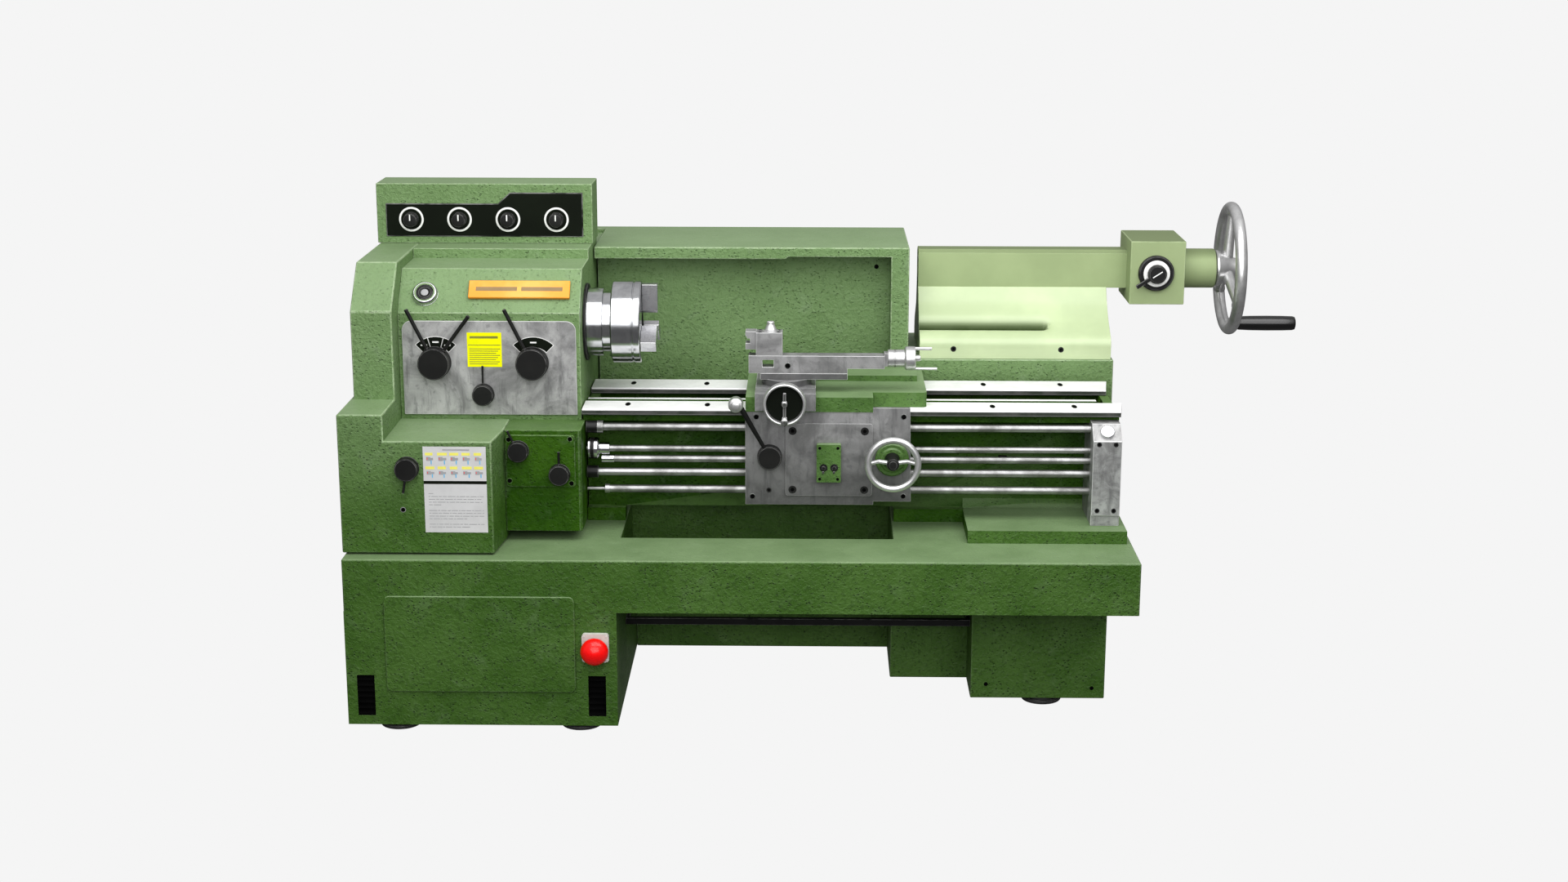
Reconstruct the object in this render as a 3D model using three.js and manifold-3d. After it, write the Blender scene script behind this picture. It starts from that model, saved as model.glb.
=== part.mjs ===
import * as THREE from "three";
import { mergeVertices } from "three/addons/utils/BufferGeometryUtils.js";
import Module from "manifold-3d";

const wasm = await Module();
wasm.setup();

// Millimetres. While building, X runs right from the tray's left end, Y runs back from the
// stand's front and Z runs up from the floor. The finished group is moved so that its origin
// is on the floor under the middle of the machine.
const originX = 1392.5;
const originY = 542;
const gap = 0.3;

const tray = { length: 2200, depth: 1150, bottom: 352, top: 502, skin: 8 };
const chute = { x0: 752, x1: 1527, y0: 230, y1: 631 };
const standFoot = 20;
const standTop = tray.bottom - gap;
const cabinetWidth = 756;
const legFront = 239;
const secondBoxFront = 407;
const wayTop = 862;
const wayUnder = 844;
const bedWallFront = 438;
const spindleY = 500;
const spindleZ = 1075;
const chuckFace = 801;
const headFront = 322.3;
const headLeft = 122;
const headRight = 637;
const slopeFoot = 1132;
const slopeTopY = 415;
const slopeTopZ = 1244;
const headTop = 1272;
const headBackTop = 1245;
const rodY = 302;
const bracketLeft = 2087;
const carriageFront = 270;
const saddleTop = 905;
const compoundY = 330;
const guardFront = 725;
const guardTop = 1259;
const pedestalTop = 920;
const quillY = 940;
const quillZ = 1167;
const crankZ = 995.5;

const paint = { colour: 0x5e8a4f, roughness: 0.55, metalness: 0.1 };
const paleGreen = { colour: 0xa3b87f, roughness: 0.45, metalness: 0.05 };
const steel = { colour: 0x8f8f8d, roughness: 0.4, metalness: 0.9 };
const bright = { colour: 0xd0d0d0, roughness: 0.2, metalness: 1 };
const black = { colour: 0x1b1b1b, roughness: 0.5, metalness: 0.2 };
const red = { colour: 0xd01515, roughness: 0.35, metalness: 0 };
const orange = { colour: 0xe8952a, roughness: 0.45, metalness: 0.1 };

const machine = new THREE.Group();
machine.name = "metal_lathe";

function add(name, finish, geometry) {
  const { colour, roughness, metalness } = finish;
  const material = new THREE.MeshStandardMaterial({ color: colour, roughness, metalness });
  const mesh = new THREE.Mesh(geometry, material);
  mesh.name = name;
  machine.add(mesh);
}

// Basic solids

function toSolid(geometry) {
  const bare = geometry.clone();
  bare.deleteAttribute("normal");
  bare.deleteAttribute("uv");
  const merged = mergeVertices(bare, 1e-4);
  const solid = new wasm.Manifold(
    new wasm.Mesh({
      numProp: 3,
      vertProperties: merged.attributes.position.array,
      triVerts: new Uint32Array(merged.index.array),
    }),
  );
  return solid;
}

function toGeometry(solid) {
  const mesh = solid.getMesh();
  const geometry = new THREE.BufferGeometry();
  geometry.setAttribute("position", new THREE.BufferAttribute(mesh.vertProperties.slice(), 3));
  geometry.setIndex(new THREE.BufferAttribute(mesh.triVerts.slice(), 1));
  const flat = geometry.toNonIndexed();
  flat.computeVertexNormals();
  return flat;
}

function join(...pieces) {
  return toGeometry(pieces.map(toSolid).reduce((a, b) => a.add(b)));
}

function cut(body, ...tools) {
  return toGeometry(tools.map(toSolid).reduce((a, b) => a.subtract(b), toSolid(body)));
}

function block(x0, x1, y0, y1, z0, z1) {
  const geometry = new THREE.BoxGeometry(x1 - x0, y1 - y0, z1 - z0);
  return geometry.translate((x0 + x1) / 2, (y0 + y1) / 2, (z0 + z1) / 2);
}

function extruded(points, depth) {
  const shape = new THREE.Shape(points.map(([u, v]) => new THREE.Vector2(u, v)));
  return new THREE.ExtrudeGeometry(shape, { depth, bevelEnabled: false, steps: 1 });
}

// Outline in X, Y raised along Z.
function plan(points, z0, z1) {
  return extruded(points, z1 - z0).translate(0, 0, z0);
}

// Outline in X, Z seen from the front, from y0 back to y1.
function front(points, y0, y1) {
  return extruded(points, y1 - y0).rotateX(Math.PI / 2).translate(0, y1, 0);
}

// Outline in Y, Z seen from the end, from x0 right to x1.
function side(points, x0, x1) {
  const turn = new THREE.Matrix4().makeBasis(
    new THREE.Vector3(0, 1, 0),
    new THREE.Vector3(0, 0, 1),
    new THREE.Vector3(1, 0, 0),
  );
  return extruded(points, x1 - x0).applyMatrix4(turn).translate(x0, 0, 0);
}

function roundedOutline(u0, u1, v0, v1, radii, steps = 5) {
  const [low, high] = Array.isArray(radii) ? radii : [radii, radii];
  const corners = [
    [u0, v0, 180, 1, 1, low],
    [u1, v0, 270, -1, 1, low],
    [u1, v1, 0, -1, -1, high],
    [u0, v1, 90, 1, -1, high],
  ];
  return corners.flatMap(([u, v, start, su, sv, r]) => {
    if (!r) return [[u, v]];
    return Array.from({ length: steps + 1 }, (_, i) => {
      const a = THREE.MathUtils.degToRad(start + (90 * i) / steps);
      return [u + su * r + r * Math.cos(a), v + sv * r + r * Math.sin(a)];
    });
  });
}

// Profile of [radius, distance along the axis] turned about an axis through the given point.
function turned(axis, profile, x, y, z, segments = 24) {
  const points = profile.map(([r, h]) => new THREE.Vector2(r, h));
  const geometry = new THREE.LatheGeometry(points, segments);
  if (axis === "x") geometry.rotateZ(-Math.PI / 2);
  if (axis === "z") geometry.rotateX(Math.PI / 2);
  return geometry.translate(x, y, z);
}

function drum(axis, r, h0, h1, x, y, z, segments = 24) {
  return turned(axis, [[0, h0], [r, h0], [r, h1], [0, h1]], x, y, z, segments);
}

function rim(axis, ringRadius, tubeRadius, x, y, z, segments = 36, tubeSegments = 8) {
  const profile = Array.from({ length: tubeSegments + 1 }, (_, i) => {
    const a = (2 * Math.PI * (i % tubeSegments)) / tubeSegments;
    return [ringRadius + tubeRadius * Math.cos(a), tubeRadius * Math.sin(a)];
  });
  return turned(axis, profile, x, y, z, segments);
}

function bar(from, to, radius, endRadius = radius, segments = 12) {
  const a = new THREE.Vector3(...from);
  const b = new THREE.Vector3(...to);
  const geometry = new THREE.CylinderGeometry(endRadius, radius, a.distanceTo(b), segments);
  const turn = new THREE.Quaternion().setFromUnitVectors(
    new THREE.Vector3(0, 1, 0),
    b.clone().sub(a).normalize(),
  );
  const middle = a.clone().add(b).multiplyScalar(0.5);
  return geometry.applyQuaternion(turn).translate(middle.x, middle.y, middle.z);
}

// Stand

function chipTray() {
  const { length, depth, bottom, top, skin } = tray;
  const { x0, x1, y0, y1 } = chute;
  const hollow = block(skin, length - skin, skin, depth - skin, bottom - 1, top - skin);
  const collar = block(x0 - skin, x1 + skin, y0 - skin, y1 + skin, bottom, top - 1);
  const shell = cut(block(0, length, 0, depth, bottom, top), hollow);
  return cut(join(shell, collar), block(x0, x1, y0, y1, bottom - 1, top + 1));
}

function cabinet() {
  const wall = 8;
  const shell = cut(
    block(0, cabinetWidth, 0, 1100, standFoot, standTop),
    block(wall, cabinetWidth - wall, wall, 1100 - wall, standFoot - 1, standTop - wall),
  );
  const ventBacks = [25, 671].map((x) => block(x, x + 57, 1, 16, 43, 171));
  const switchPlate = front(roundedOutline(660, 735, 212, 294, 9), -14, 1);
  return cut(
    join(shell, switchPlate, ...ventBacks),
    block(29, 78, -1, 10, 47, 166),
    block(675, 724, -1, 10, 48, 167),
    drum("y", 15.5, -20, 20, 697, 0, 250),
  );
}

function rightPedestal() {
  const wall = 8;
  const inner = standTop - wall;
  return cut(
    join(
      block(1757, 2145, legFront, 1100, standFoot, standTop),
      block(1530, 1758, secondBoxFront, 1100, standFoot, standTop),
      block(cabinetWidth + gap, 1531, 677, 685, standFoot, standTop),
    ),
    block(1757 + wall, 2145 - wall, legFront + wall, 1100 - wall, standFoot - 1, inner),
    block(1530 + wall, 1749, secondBoxFront + wall, 1100 - wall, standFoot - 1, inner),
  );
}

function levellingFoot(x, y) {
  const profile = [[0, 0], [58, 0], [58, 11], [50, standFoot - gap], [0, standFoot - gap]];
  return turned("z", profile, x, y, 0, 28);
}

function brakeBar() {
  const left = cabinetWidth + gap;
  const right = 1757 - gap;
  const rail = block(left + 1, right - 1, 281, 300, 224, 243);
  const arms = [left + 1, right - 11].map((x) => block(x, x + 10, 299, 403, 227, 241));
  return join(rail, ...arms);
}

// Bed

function bed() {
  const left = 641;
  const right = 2170;
  const ribs = [1020, 1400, 1780];
  const body = join(
    block(left, right, 330, 698, 820, wayUnder - gap),
    block(left, right, bedWallFront, 453, 540, 821),
    block(left, right, 642, 690, 540, 821),
    ...[left, right - 26].map((x) => block(x, x + 26, 452, 643, 540, 821)),
    ...ribs.map((x) => block(x, x + 26, 452, 643, 540, 780)),
    block(left, 751, 405, 700, tray.top + gap, 541),
    block(1535, 1737, 405, 700, tray.top + gap, 541),
    block(1736, 2185, 188, 700, tray.top + gap, 539),
    block(1737, right, bedWallFront, 690, 538, 566),
    side([[422, 538], [445, 538], [445, 566], [bedWallFront, 566]], 1737, bracketLeft - gap),
  );
  const edges = [left, ...ribs, right - 26];
  const bays = ribs.concat(0).map((_, i) => block(edges[i] + 26, edges[i + 1], 453, 642, 500, 850));
  const slot = block(left + 26, right - 26, 453, 642, 780, 850);
  const window = block(1838, 1864, 420, 460, 676, 696);
  const rail = block(left, 2122, 470, 492, 822, 851);
  const posts = ribs.map((x) => block(x, x + 26, 470, 492, 779, 823));
  return join(cut(body, ...bays, slot, window), rail, ...posts);
}

function way(y0, y1, right) {
  const outline = [
    [y0 + 3, wayUnder],
    [y1 - 3, wayUnder],
    [y1, wayUnder + 3],
    [y1, wayTop - 4],
    [y1 - 4, wayTop],
    [y0 + 4, wayTop],
    [y0, wayTop - 4],
    [y0, wayUnder + 3],
  ];
  const mitre = [[right - 17, y0 - 1], [right + 9, y0 - 1], [right + 9, y1 + 1], [right, y1 + 1]];
  return cut(side(outline, 641, right), plan(mitre, wayUnder - 1, wayTop + 1));
}

function endBracket() {
  const back = 329.7;
  const casting = side(
    [
      [245, 539.3], [bedWallFront - gap, 539.3], [bedWallFront - gap, 819.7],
      [back, 819.7], [back, 830], [279, 830], [245, 796],
    ],
    bracketLeft,
    bracketLeft + 81,
  );
  const cover = side(
    [[237, 571], [246, 571], [246, 784], [285, 823], [285, 830], [279, 830], [237, 788]],
    bracketLeft,
    bracketLeft + 81,
  );
  const cap = bar([2129, 266, 808], [2129, 257.5, 816.5], 20, 18, 20);
  return join(casting, cover, cap);
}

function shaft(z, radius, left, sleeve) {
  const profile = [[0, left], ...sleeve, [radius, bracketLeft - gap], [0, bracketLeft - gap]];
  return turned("x", profile, 0, rodY, z, 16);
}

function addShafts() {
  const start = 652.3;
  const collar = (r) => [[r, start], [r, 685], [18, 685], [18, 700], [11, 700]];
  add("lead_screw", bright, shaft(809, 11, start, collar(17.5)));
  add("feed_rod", bright, shaft(677, 11, start, collar(17.5)));
  const flange = [[6, start], [6, 657], [31, 657], [31, 690], [17, 690], [17, 718], [9, 718]];
  add("clutch_rod", bright, shaft(746, 9, start, flange));
  add("trip_rod", bright, shaft(716, 10, 693, [[11.5, 693], [11.5, 731], [10, 731]]));
  const stepped = [[5, start], [5, 703], [13, 703], [13, 716], [11, 716]];
  add("control_rod", bright, shaft(627, 11, start, stepped));
}

// Rear castings

function splashGuard() {
  const left = 641;
  const right = 1584;
  const body = join(
    block(left, right, guardFront, tray.depth, tray.top + gap, guardTop),
    block(600, left + 20, 1101, tray.depth, tray.top + gap, guardTop), // wraps the headstock's back corner
  );
  const recess = front(
    [[left - 1, 500], [1529, 500], [1529, 1230], [1222, 1230], [1214, 1223], [left - 1, 1223]],
    guardFront - 1,
    820,
  );
  const hollow = block(left + 8, right - 8, 835, tray.depth - 8, 500, guardTop - 12);
  return cut(body, recess, hollow, drum("x", 40, 1570, 1590, 0, quillY, quillZ, 20));
}

function rearPedestal() {
  const wall = 12;
  return cut(
    block(1584 + gap, 2204, 730, tray.depth, tray.top + gap, pedestalTop),
    block(1584 + wall, 2204 - wall, 742, tray.depth - wall, 500, pedestalTop - wall),
  );
}

// Headstock and its covers

function headstock() {
  const back = 1100;
  const body = side(
    [
      [headFront, tray.top + gap], [back, tray.top + gap], [back, headBackTop],
      [850, headBackTop], [850, headTop], [600, headTop], [600, slopeTopZ],
      [slopeTopY, slopeTopZ], [headFront, slopeFoot],
    ],
    headLeft,
    headRight,
  );
  const hollow = side(
    [
      [337, 500], [1085, 500], [1085, headBackTop - 15], [835, headBackTop - 15],
      [835, headTop - 15], [612, headTop - 15], [612, 1228], [425, 1228], [337, 1120],
    ],
    headLeft + 15,
    headRight - 15,
  );
  return cut(body, hollow);
}

// A turned piece standing square on the headstock's sloping face, axis pointing outwards.
function onSlope(profile, x, z) {
  const run = slopeTopY - headFront;
  const rise = slopeTopZ - slopeFoot;
  const normal = new THREE.Vector3(0, -rise, run).normalize();
  const turn = new THREE.Quaternion().setFromUnitVectors(new THREE.Vector3(0, 1, 0), normal);
  const y = headFront + (run * (z - slopeFoot)) / rise;
  const geometry = new THREE.LatheGeometry(profile.map(([r, h]) => new THREE.Vector2(r, h)), 28);
  return geometry.applyQuaternion(turn).translate(x, y, z);
}

function startButtonSeat(body) {
  const ring = onSlope([[0, -2], [36, -2], [36, 9], [32, 14], [0, 14]], 196, 1178);
  const well = onSlope([[0, -40], [25, -40], [25, 20], [0, 20]], 196, 1178);
  return cut(join(body, ring), well);
}

function startButton() {
  return onSlope([[0, -6], [24, -6], [24, 12], [14, 14], [0, 14]], 196, 1178);
}

function namePlate() {
  const run = slopeTopY - headFront;
  const rise = slopeTopZ - slopeFoot;
  const plate = new THREE.BoxGeometry(287, 11, 56);
  return plate
    .rotateX(Math.atan2(run, rise) * -1)
    .translate(463.5, 362.9 - 0.3, 1191.4);
}

function headPlate() {
  return front(roundedOutline(133, 626, 839, 1110, [0, 27]), 316.5, headFront - gap);
}

function gearCover() {
  const shelf = plan([[121, 46], [417, 46], [432, 188], [432, 322], [121, 322]], 507, 826);
  const upper = side([[237, 899], [237, 1150], [352, headTop], [1100, headTop], [1100, 899]], 5, 121.7);
  const outside = join(block(-5, 121.7, 46, 1100, 507, 900), shelf, upper);
  const shelfHollow = plan([[112, 54], [409, 54], [424, 190], [424, 314], [112, 314]], 500, 818);
  const upperHollow = side([[245, 890], [245, 1147], [356, 1264], [1092, 1264], [1092, 890]], 13, 113.7);
  return cut(outside, block(3, 113.7, 54, 1092, 500, 892), shelfHollow, upperHollow);
}

function feedGearbox() {
  const body = plan([[432.3, 188], [642, 188], [648, 194], [648, 322], [432.3, 322]], 531, 825);
  return join(body, front(roundedOutline(437, 632, 662, 812, 10), 182, 189));
}

function controlBox() {
  const shell = cut(
    block(0, 641, 700, 848, headTop + gap, 1450),
    block(8, 633, 708, 840, 1270, 1442),
  );
  const panel = [[27, 1292], [613, 1292], [613, 1424], [397, 1424], [361, 1391], [27, 1391]];
  return join(shell, front(panel, 697, 701));
}

// Levers, dials and buttons

function hub(x, y, z, radius, back) {
  const soft = radius * 0.08;
  return turned(
    "y",
    [[0, y], [radius - soft, y], [radius, y + soft], [radius, back], [0, back]],
    x,
    0,
    z,
    24,
  );
}

function lever(hubX, hubZ, radius, frontY, backY, tips, rodRadius) {
  const middleY = (frontY + backY) / 2;
  const rods = tips.map(([x, y, z]) => bar([hubX, middleY, hubZ], [x, y, z], rodRadius));
  return join(hub(hubX, frontY, hubZ, radius, backY), ...rods);
}

function addLevers() {
  const plateFront = 316.5 - gap;
  const boxFront = 182 - gap;
  const levers = [
    ["gear_lever", 225, 991, 45, 280, plateFront, [[151, 292, 1147], [328, 292, 1129]], 5.5],
    ["range_lever", 502, 991, 45, 280, plateFront, [[427, 292, 1148]], 5.5],
    ["direction_lever", 360, 899, 30, 290, plateFront, [[361, 302, 984]], 2.8],
    ["feed_lever_upper", 473, 767, 29, 158, boxFront, [[444, 168, 828]], 3.5],
    ["feed_lever_lower", 587, 700, 29, 158, boxFront, [[587, 168, 768]], 3.5],
    ["cover_lever", 185, 751, 32, 18, 46 - gap, [[174, 28, 684]], 3.5],
  ];
  for (const [name, ...spec] of levers) add(name, black, lever(...spec));
}

function dial(x) {
  const y = 697 - gap;
  const ring = [[0, y], [36, y], [36, y - 4], [30, y - 4], [28, y - 2], [21, y - 2]];
  const knob = [[21, y - 24], [18, y - 28], [0, y - 28]];
  const body = turned("y", [...ring, ...knob].reverse(), x, 0, 1344, 24);
  return join(body, block(x - 3, x + 3, y - 31, y - 27, 1344, 1361));
}

function stopButton() {
  const dome = [[0, -66], [15, -63.5], [28, -56], [36, -46], [39, -36], [37, -27], [31, -22]];
  return turned("y", [...dome, [16, -22], [15, -20], [15, -8], [0, -8]], 697, 0, 250, 28);
}

// Spindle

function chuck() {
  const profile = [
    [0, headRight + gap], [112, headRight + gap], [112, 645], [99, 645], [99, 691], [86.5, 691],
    [86.5, 715], [115, 715], [118.5, 719], [118.5, 776], [116, 777], [116, 780], [118.5, 781],
    [118.5, 797], [115, chuckFace], [28, chuckFace], [28, 720], [0, 720],
  ];
  return turned("x", profile, 0, spindleY, spindleZ, 40);
}

function jaw(angle) {
  const outline = [[27, 0], [36, -17], [112, -17], [112, 17], [36, 17]];
  const turn = new THREE.Matrix4().makeBasis(
    new THREE.Vector3(0, Math.cos(angle), Math.sin(angle)),
    new THREE.Vector3(0, -Math.sin(angle), Math.cos(angle)),
    new THREE.Vector3(1, 0, 0),
  );
  return extruded(outline, 45).applyMatrix4(turn).translate(chuckFace + gap, spindleY, spindleZ);
}

// Carriage

function saddle() {
  const casting = join(
    block(1107, 1467, 267, 336, wayTop + gap, saddleTop),
    plan([[1107, 335], [1613, 335], [1621, 343], [1621, 700], [1107, 700]], wayTop + gap, saddleTop),
    block(1310, 1600, 484, 583, saddleTop - 1, 922),
  );
  const channel = block(1134, 1305, 200, 701, 875, 960);
  const bracket = block(1134.3, 1304.7, 227, 300, 874, 924);
  return join(cut(casting, channel), bracket);
}

function apron() {
  const plate = front(
    [[1106, 591], [1470, 591], [1470, 601], [1577, 601], [1572, 874], [1467.3, 874],
      [1467.3, wayTop], [1106, wayTop]],
    carriageFront,
    284,
  );
  const cover = front(roundedOutline(1220, 1466, 619, 830, 8), 262, carriageFront + 1);
  const switches = front(roundedOutline(1308, 1377, 664, 774, 2, 1), 240, 263);
  const boss = hub(1522, 248, 728, 48, carriageFront + 1);
  const housing = block(1125, 1555, 283, 320, 605, 838);
  const bores = [[809, 13], [746, 11], [716, 12], [677, 13], [627, 13]].map(([z, r]) =>
    drum("x", r, 1120, 1560, 0, rodY, z, 20),
  );
  const seats = [1328, 1358].map((x) => drum("y", 8.5, 230, 250, x, 0, 707, 20));
  return cut(join(plate, cover, switches, boss, cut(housing, ...bores)), ...seats);
}

function pushButton(x) {
  return turned("y", [[0, 232], [6, 232], [7.5, 234], [7.5, 245], [0, 245]], x, 0, 707, 20);
}

function apronWheel() {
  const x = 1522;
  const y = 185;
  const z = 731;
  const spokes = [0, 180].map((degrees) => {
    const a = THREE.MathUtils.degToRad(degrees);
    const knee = [x + 40 * Math.cos(a), y + 14, z + 40 * Math.sin(a) + 6];
    const end = [x + 70 * Math.cos(a), y, z + 70 * Math.sin(a) + 2];
    return join(bar([x, y + 16, z], knee, 6.5, 6, 10), bar(knee, end, 6, 5.5, 10));
  });
  const shaftPiece = turned("y", [[0, 176], [12, 176], [17, 180], [17, 215], [20, 247.7], [0, 247.7]],
    x, 0, z, 20);
  return join(rim("y", 70, 9.5, x, y, z, 36, 8), ...spokes, shaftPiece);
}

function halfNutLever() {
  const arm = bar([1176, 252, 733], [1092, 222, 889], 6.5, 5.5);
  const knob = turned("y", [[0, 192], [12, 192], [12, 198], [20, 201], [21, 232], [17, 236], [0, 236]],
    1081, 0, 895, 20);
  return join(hub(1175, 240, 733, 34, carriageFront - gap), arm, knob);
}

function crossWheel() {
  const dish = [[0, 178], [51, 178], [52, 160], [57, 158], [59.5, 162], [59.5, 186], [54, 198]];
  const body = turned("y", [...dish, [20, 200], [14, 206], [14, 227 - gap], [0, 227 - gap]],
    1218, 0, 907, 36);
  const handle = turned("y", [[0, 132], [7, 132], [10, 138], [7, 158], [7, 179], [0, 179]],
    1218, 0, 862, 16);
  const barPiece = block(1214, 1222, 166, 179, 862, 937);
  return join(body, handle, barPiece, drum("y", 8, 160, 179, 1218, 0, 907, 16));
}

function crossSlide() {
  return block(1134.3, 1304.7, 300 + gap, 560, 875 + gap, 924);
}

function swivelBase() {
  const ring = turned("z", [[0, 924 + gap], [71, 924 + gap], [71, 943], [0, 943]], 1222, 376, 0, 32);
  return join(ring, block(1147, 1395, compoundY, 376, 942, 960));
}

function compoundSlide() {
  const low = 960 + gap;
  const outline = [[1114, low], [1395, low], [1395, 974], [1500, 974], [1500, 1011], [1114, 1011]];
  const body = join(front(outline, compoundY, 376), block(1499, 1509, 336, 370, 980, 1018));
  return cut(body, block(1153, 1185, 325, 381, 978, 999));
}

function compoundWheel() {
  const z = 1001;
  const y = 353;
  const body = turned(
    "x",
    [[0, 1509 + gap], [25, 1509 + gap], [25, 1557], [29, 1557], [34, 1561], [34, 1585], [30, 1588],
      [9, 1588], [9, 1600], [6, 1603], [0, 1603]],
    0,
    y,
    z,
    28,
  );
  const pins = [
    bar([1560, y, z + 28], [1634, y, z + 28], 5, 5, 12),
    bar([1570, y, z - 30], [1650, y, z - 30], 4, 4, 12),
  ];
  return join(body, ...pins);
}

function toolPost() {
  const base = 1011 + gap;
  const post = block(1135, 1210, compoundY, 384, base, 1077);
  const holder = cut(
    block(1105, 1136, 334, 378, 1028, 1080),
    block(1095, 1118, 330, 380, 1046, 1060),
    block(1095, 1109, 330, 380, 1059, 1066),
  );
  const nut = turned("z", [[0, 1076], [21, 1076], [21, 1079], [17, 1083], [11, 1096], [11, 1103],
    [8, 1106], [0, 1106]], 1176, 357, 0, 18);
  return join(post, holder, nut);
}

// Tailstock

function tailstock() {
  const foot = side(
    [
      [735, pedestalTop + gap], [1100, pedestalTop + gap], [1085, 985], [1010, 1045],
      [985, 1114], [895, 1114], [880, 1094], [862, 1070], [838, 1046], [808, 1022], [776, 1003],
      [748, 986], [735, 970],
    ],
    1619,
    2200,
  );
  const sway = side(
    [[700, 900], [1150, 900], [1150, 1120], [700, 1120]],
    2196,
    2210,
  );
  const groove = join(
    bar([1600, 775, 1028.5], [2010, 775, 1028.5], 47, 47, 28),
    new THREE.SphereGeometry(47, 28, 16).rotateZ(Math.PI / 2).translate(2010, 775, 1028.5),
  );
  const under = block(1634, 2180, 765, 1070, 900, 965);
  const barrel = side(
    [[895, 1112], [985, 1112], [985, 1210], [968, 1228], [910, 1228], [895, 1218]],
    1619,
    2257,
  );
  const clampBlock = block(2256, 2422, 815, 1050, 1075, 1268);
  const sleeve = drum("x", 60, 2421, 2530, 0, quillY, quillZ, 28);
  const quillBore = drum("x", 31, 1600, 2130, 0, quillY, quillZ, 28);
  return cut(join(cut(foot, sway, groove, under), barrel, clampBlock, sleeve), quillBore);
}

function quill() {
  const profile = [[0, 1620], [12, 1634], [12, 1636], [28, 1636], [30.5, 1639], [30.5, 2120], [0, 2120]];
  return turned("x", profile, 0, quillY, quillZ, 28);
}

function tailWheel() {
  const y = quillY;
  const z = quillZ;
  const cone = [[0, 2530 + gap], [46, 2530 + gap], [56, 2540], [44, 2562], [34, 2585], [30, 2612],
    [20, 2620], [0, 2620]];
  const spokes = [90, 210, 330].map((degrees) => {
    const a = THREE.MathUtils.degToRad(degrees);
    const end = [2580, y + 182 * Math.cos(a), z + 182 * Math.sin(a)];
    return bar([2572, y + 25 * Math.cos(a), z + 25 * Math.sin(a)], end, 17, 12, 12);
  });
  const stub = bar([2580, y, crankZ], [2606, y, crankZ], 12, 12, 14);
  return join(rim("x", 186, 18, 2580, y, z, 40, 10), turned("x", cone, 0, y, z, 28), ...spokes, stub);
}

function crankGrip() {
  const profile = [[0, 2606 + gap], [20, 2606 + gap], [23, 2612], [23, 2786], [20, 2790], [0, 2790]];
  return turned("x", profile, 0, quillY, crankZ, 20);
}

function clampLever() {
  const profile = [[0, 778], [24, 778], [27, 782], [27, 790], [40, 790], [42, 793], [42, 798],
    [52, 798], [54, 801], [54, 815 - gap], [0, 815 - gap]];
  const knob = turned("y", profile, 2334, 0, 1172, 28);
  const arm = block(-70, 0, -4, 4, -6, 6).rotateY(THREE.MathUtils.degToRad(-33)).translate(2334, 784, 1172);
  return join(knob, arm);
}

// Assembly

add("tray", paint, chipTray());
add("cabinet", paint, cabinet());
add("cabinet_cover", paint, front(roundedOutline(113, 641, 120, 399, 17), -8, -gap));
add("right_pedestal", paint, rightPedestal());
const feet = [[136, 68], [648, 70], [1968, 297], [400, 1040], [1968, 1040]];
feet.forEach(([x, y], i) => add(`foot_${i + 1}`, black, levellingFoot(x, y)));
add("brake_bar", black, brakeBar());

add("bed", paint, bed());
add("front_way", bright, way(295, 405, 2187));
add("rear_way", bright, way(573, 697, 2180));
add("end_bracket", steel, endBracket());
addShafts();

add("splash_guard", paint, splashGuard());
add("rear_pedestal", paint, rearPedestal());

add("headstock", paint, startButtonSeat(headstock()));
add("head_plate", steel, headPlate());
add("name_plate", orange, namePlate());
add("start_button", black, startButton());
add("gear_cover", paint, gearCover());
add("feed_gearbox", paint, feedGearbox());
add("control_box", paint, controlBox());
addLevers();
[103, 246, 390, 534].forEach((x, i) => add(`dial_${i + 1}`, black, dial(x)));
add("stop_button", red, stopButton());

add("chuck", bright, chuck());
[90, 210, 330].forEach((degrees, i) =>
  add(`jaw_${i + 1}`, steel, jaw(THREE.MathUtils.degToRad(degrees))),
);

add("saddle", paint, saddle());
add("apron", steel, apron());
add("push_button_left", black, pushButton(1328));
add("push_button_right", black, pushButton(1358));
add("apron_wheel", bright, apronWheel());
add("half_nut_lever", black, halfNutLever());
add("cross_wheel", steel, crossWheel());
add("cross_slide", steel, crossSlide());
add("swivel_base", steel, swivelBase());
add("compound_slide", steel, compoundSlide());
add("compound_wheel", bright, compoundWheel());
add("tool_post", steel, toolPost());

add("tailstock", paleGreen, tailstock());
add("quill", bright, quill());
add("tail_wheel", bright, tailWheel());
add("crank_grip", black, crankGrip());
add("clamp_lever", black, clampLever());

machine.position.set(-originX, -originY, 0);

export default machine;
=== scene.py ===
import math

import bmesh
import bpy
from mathutils import Matrix, Vector


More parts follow.
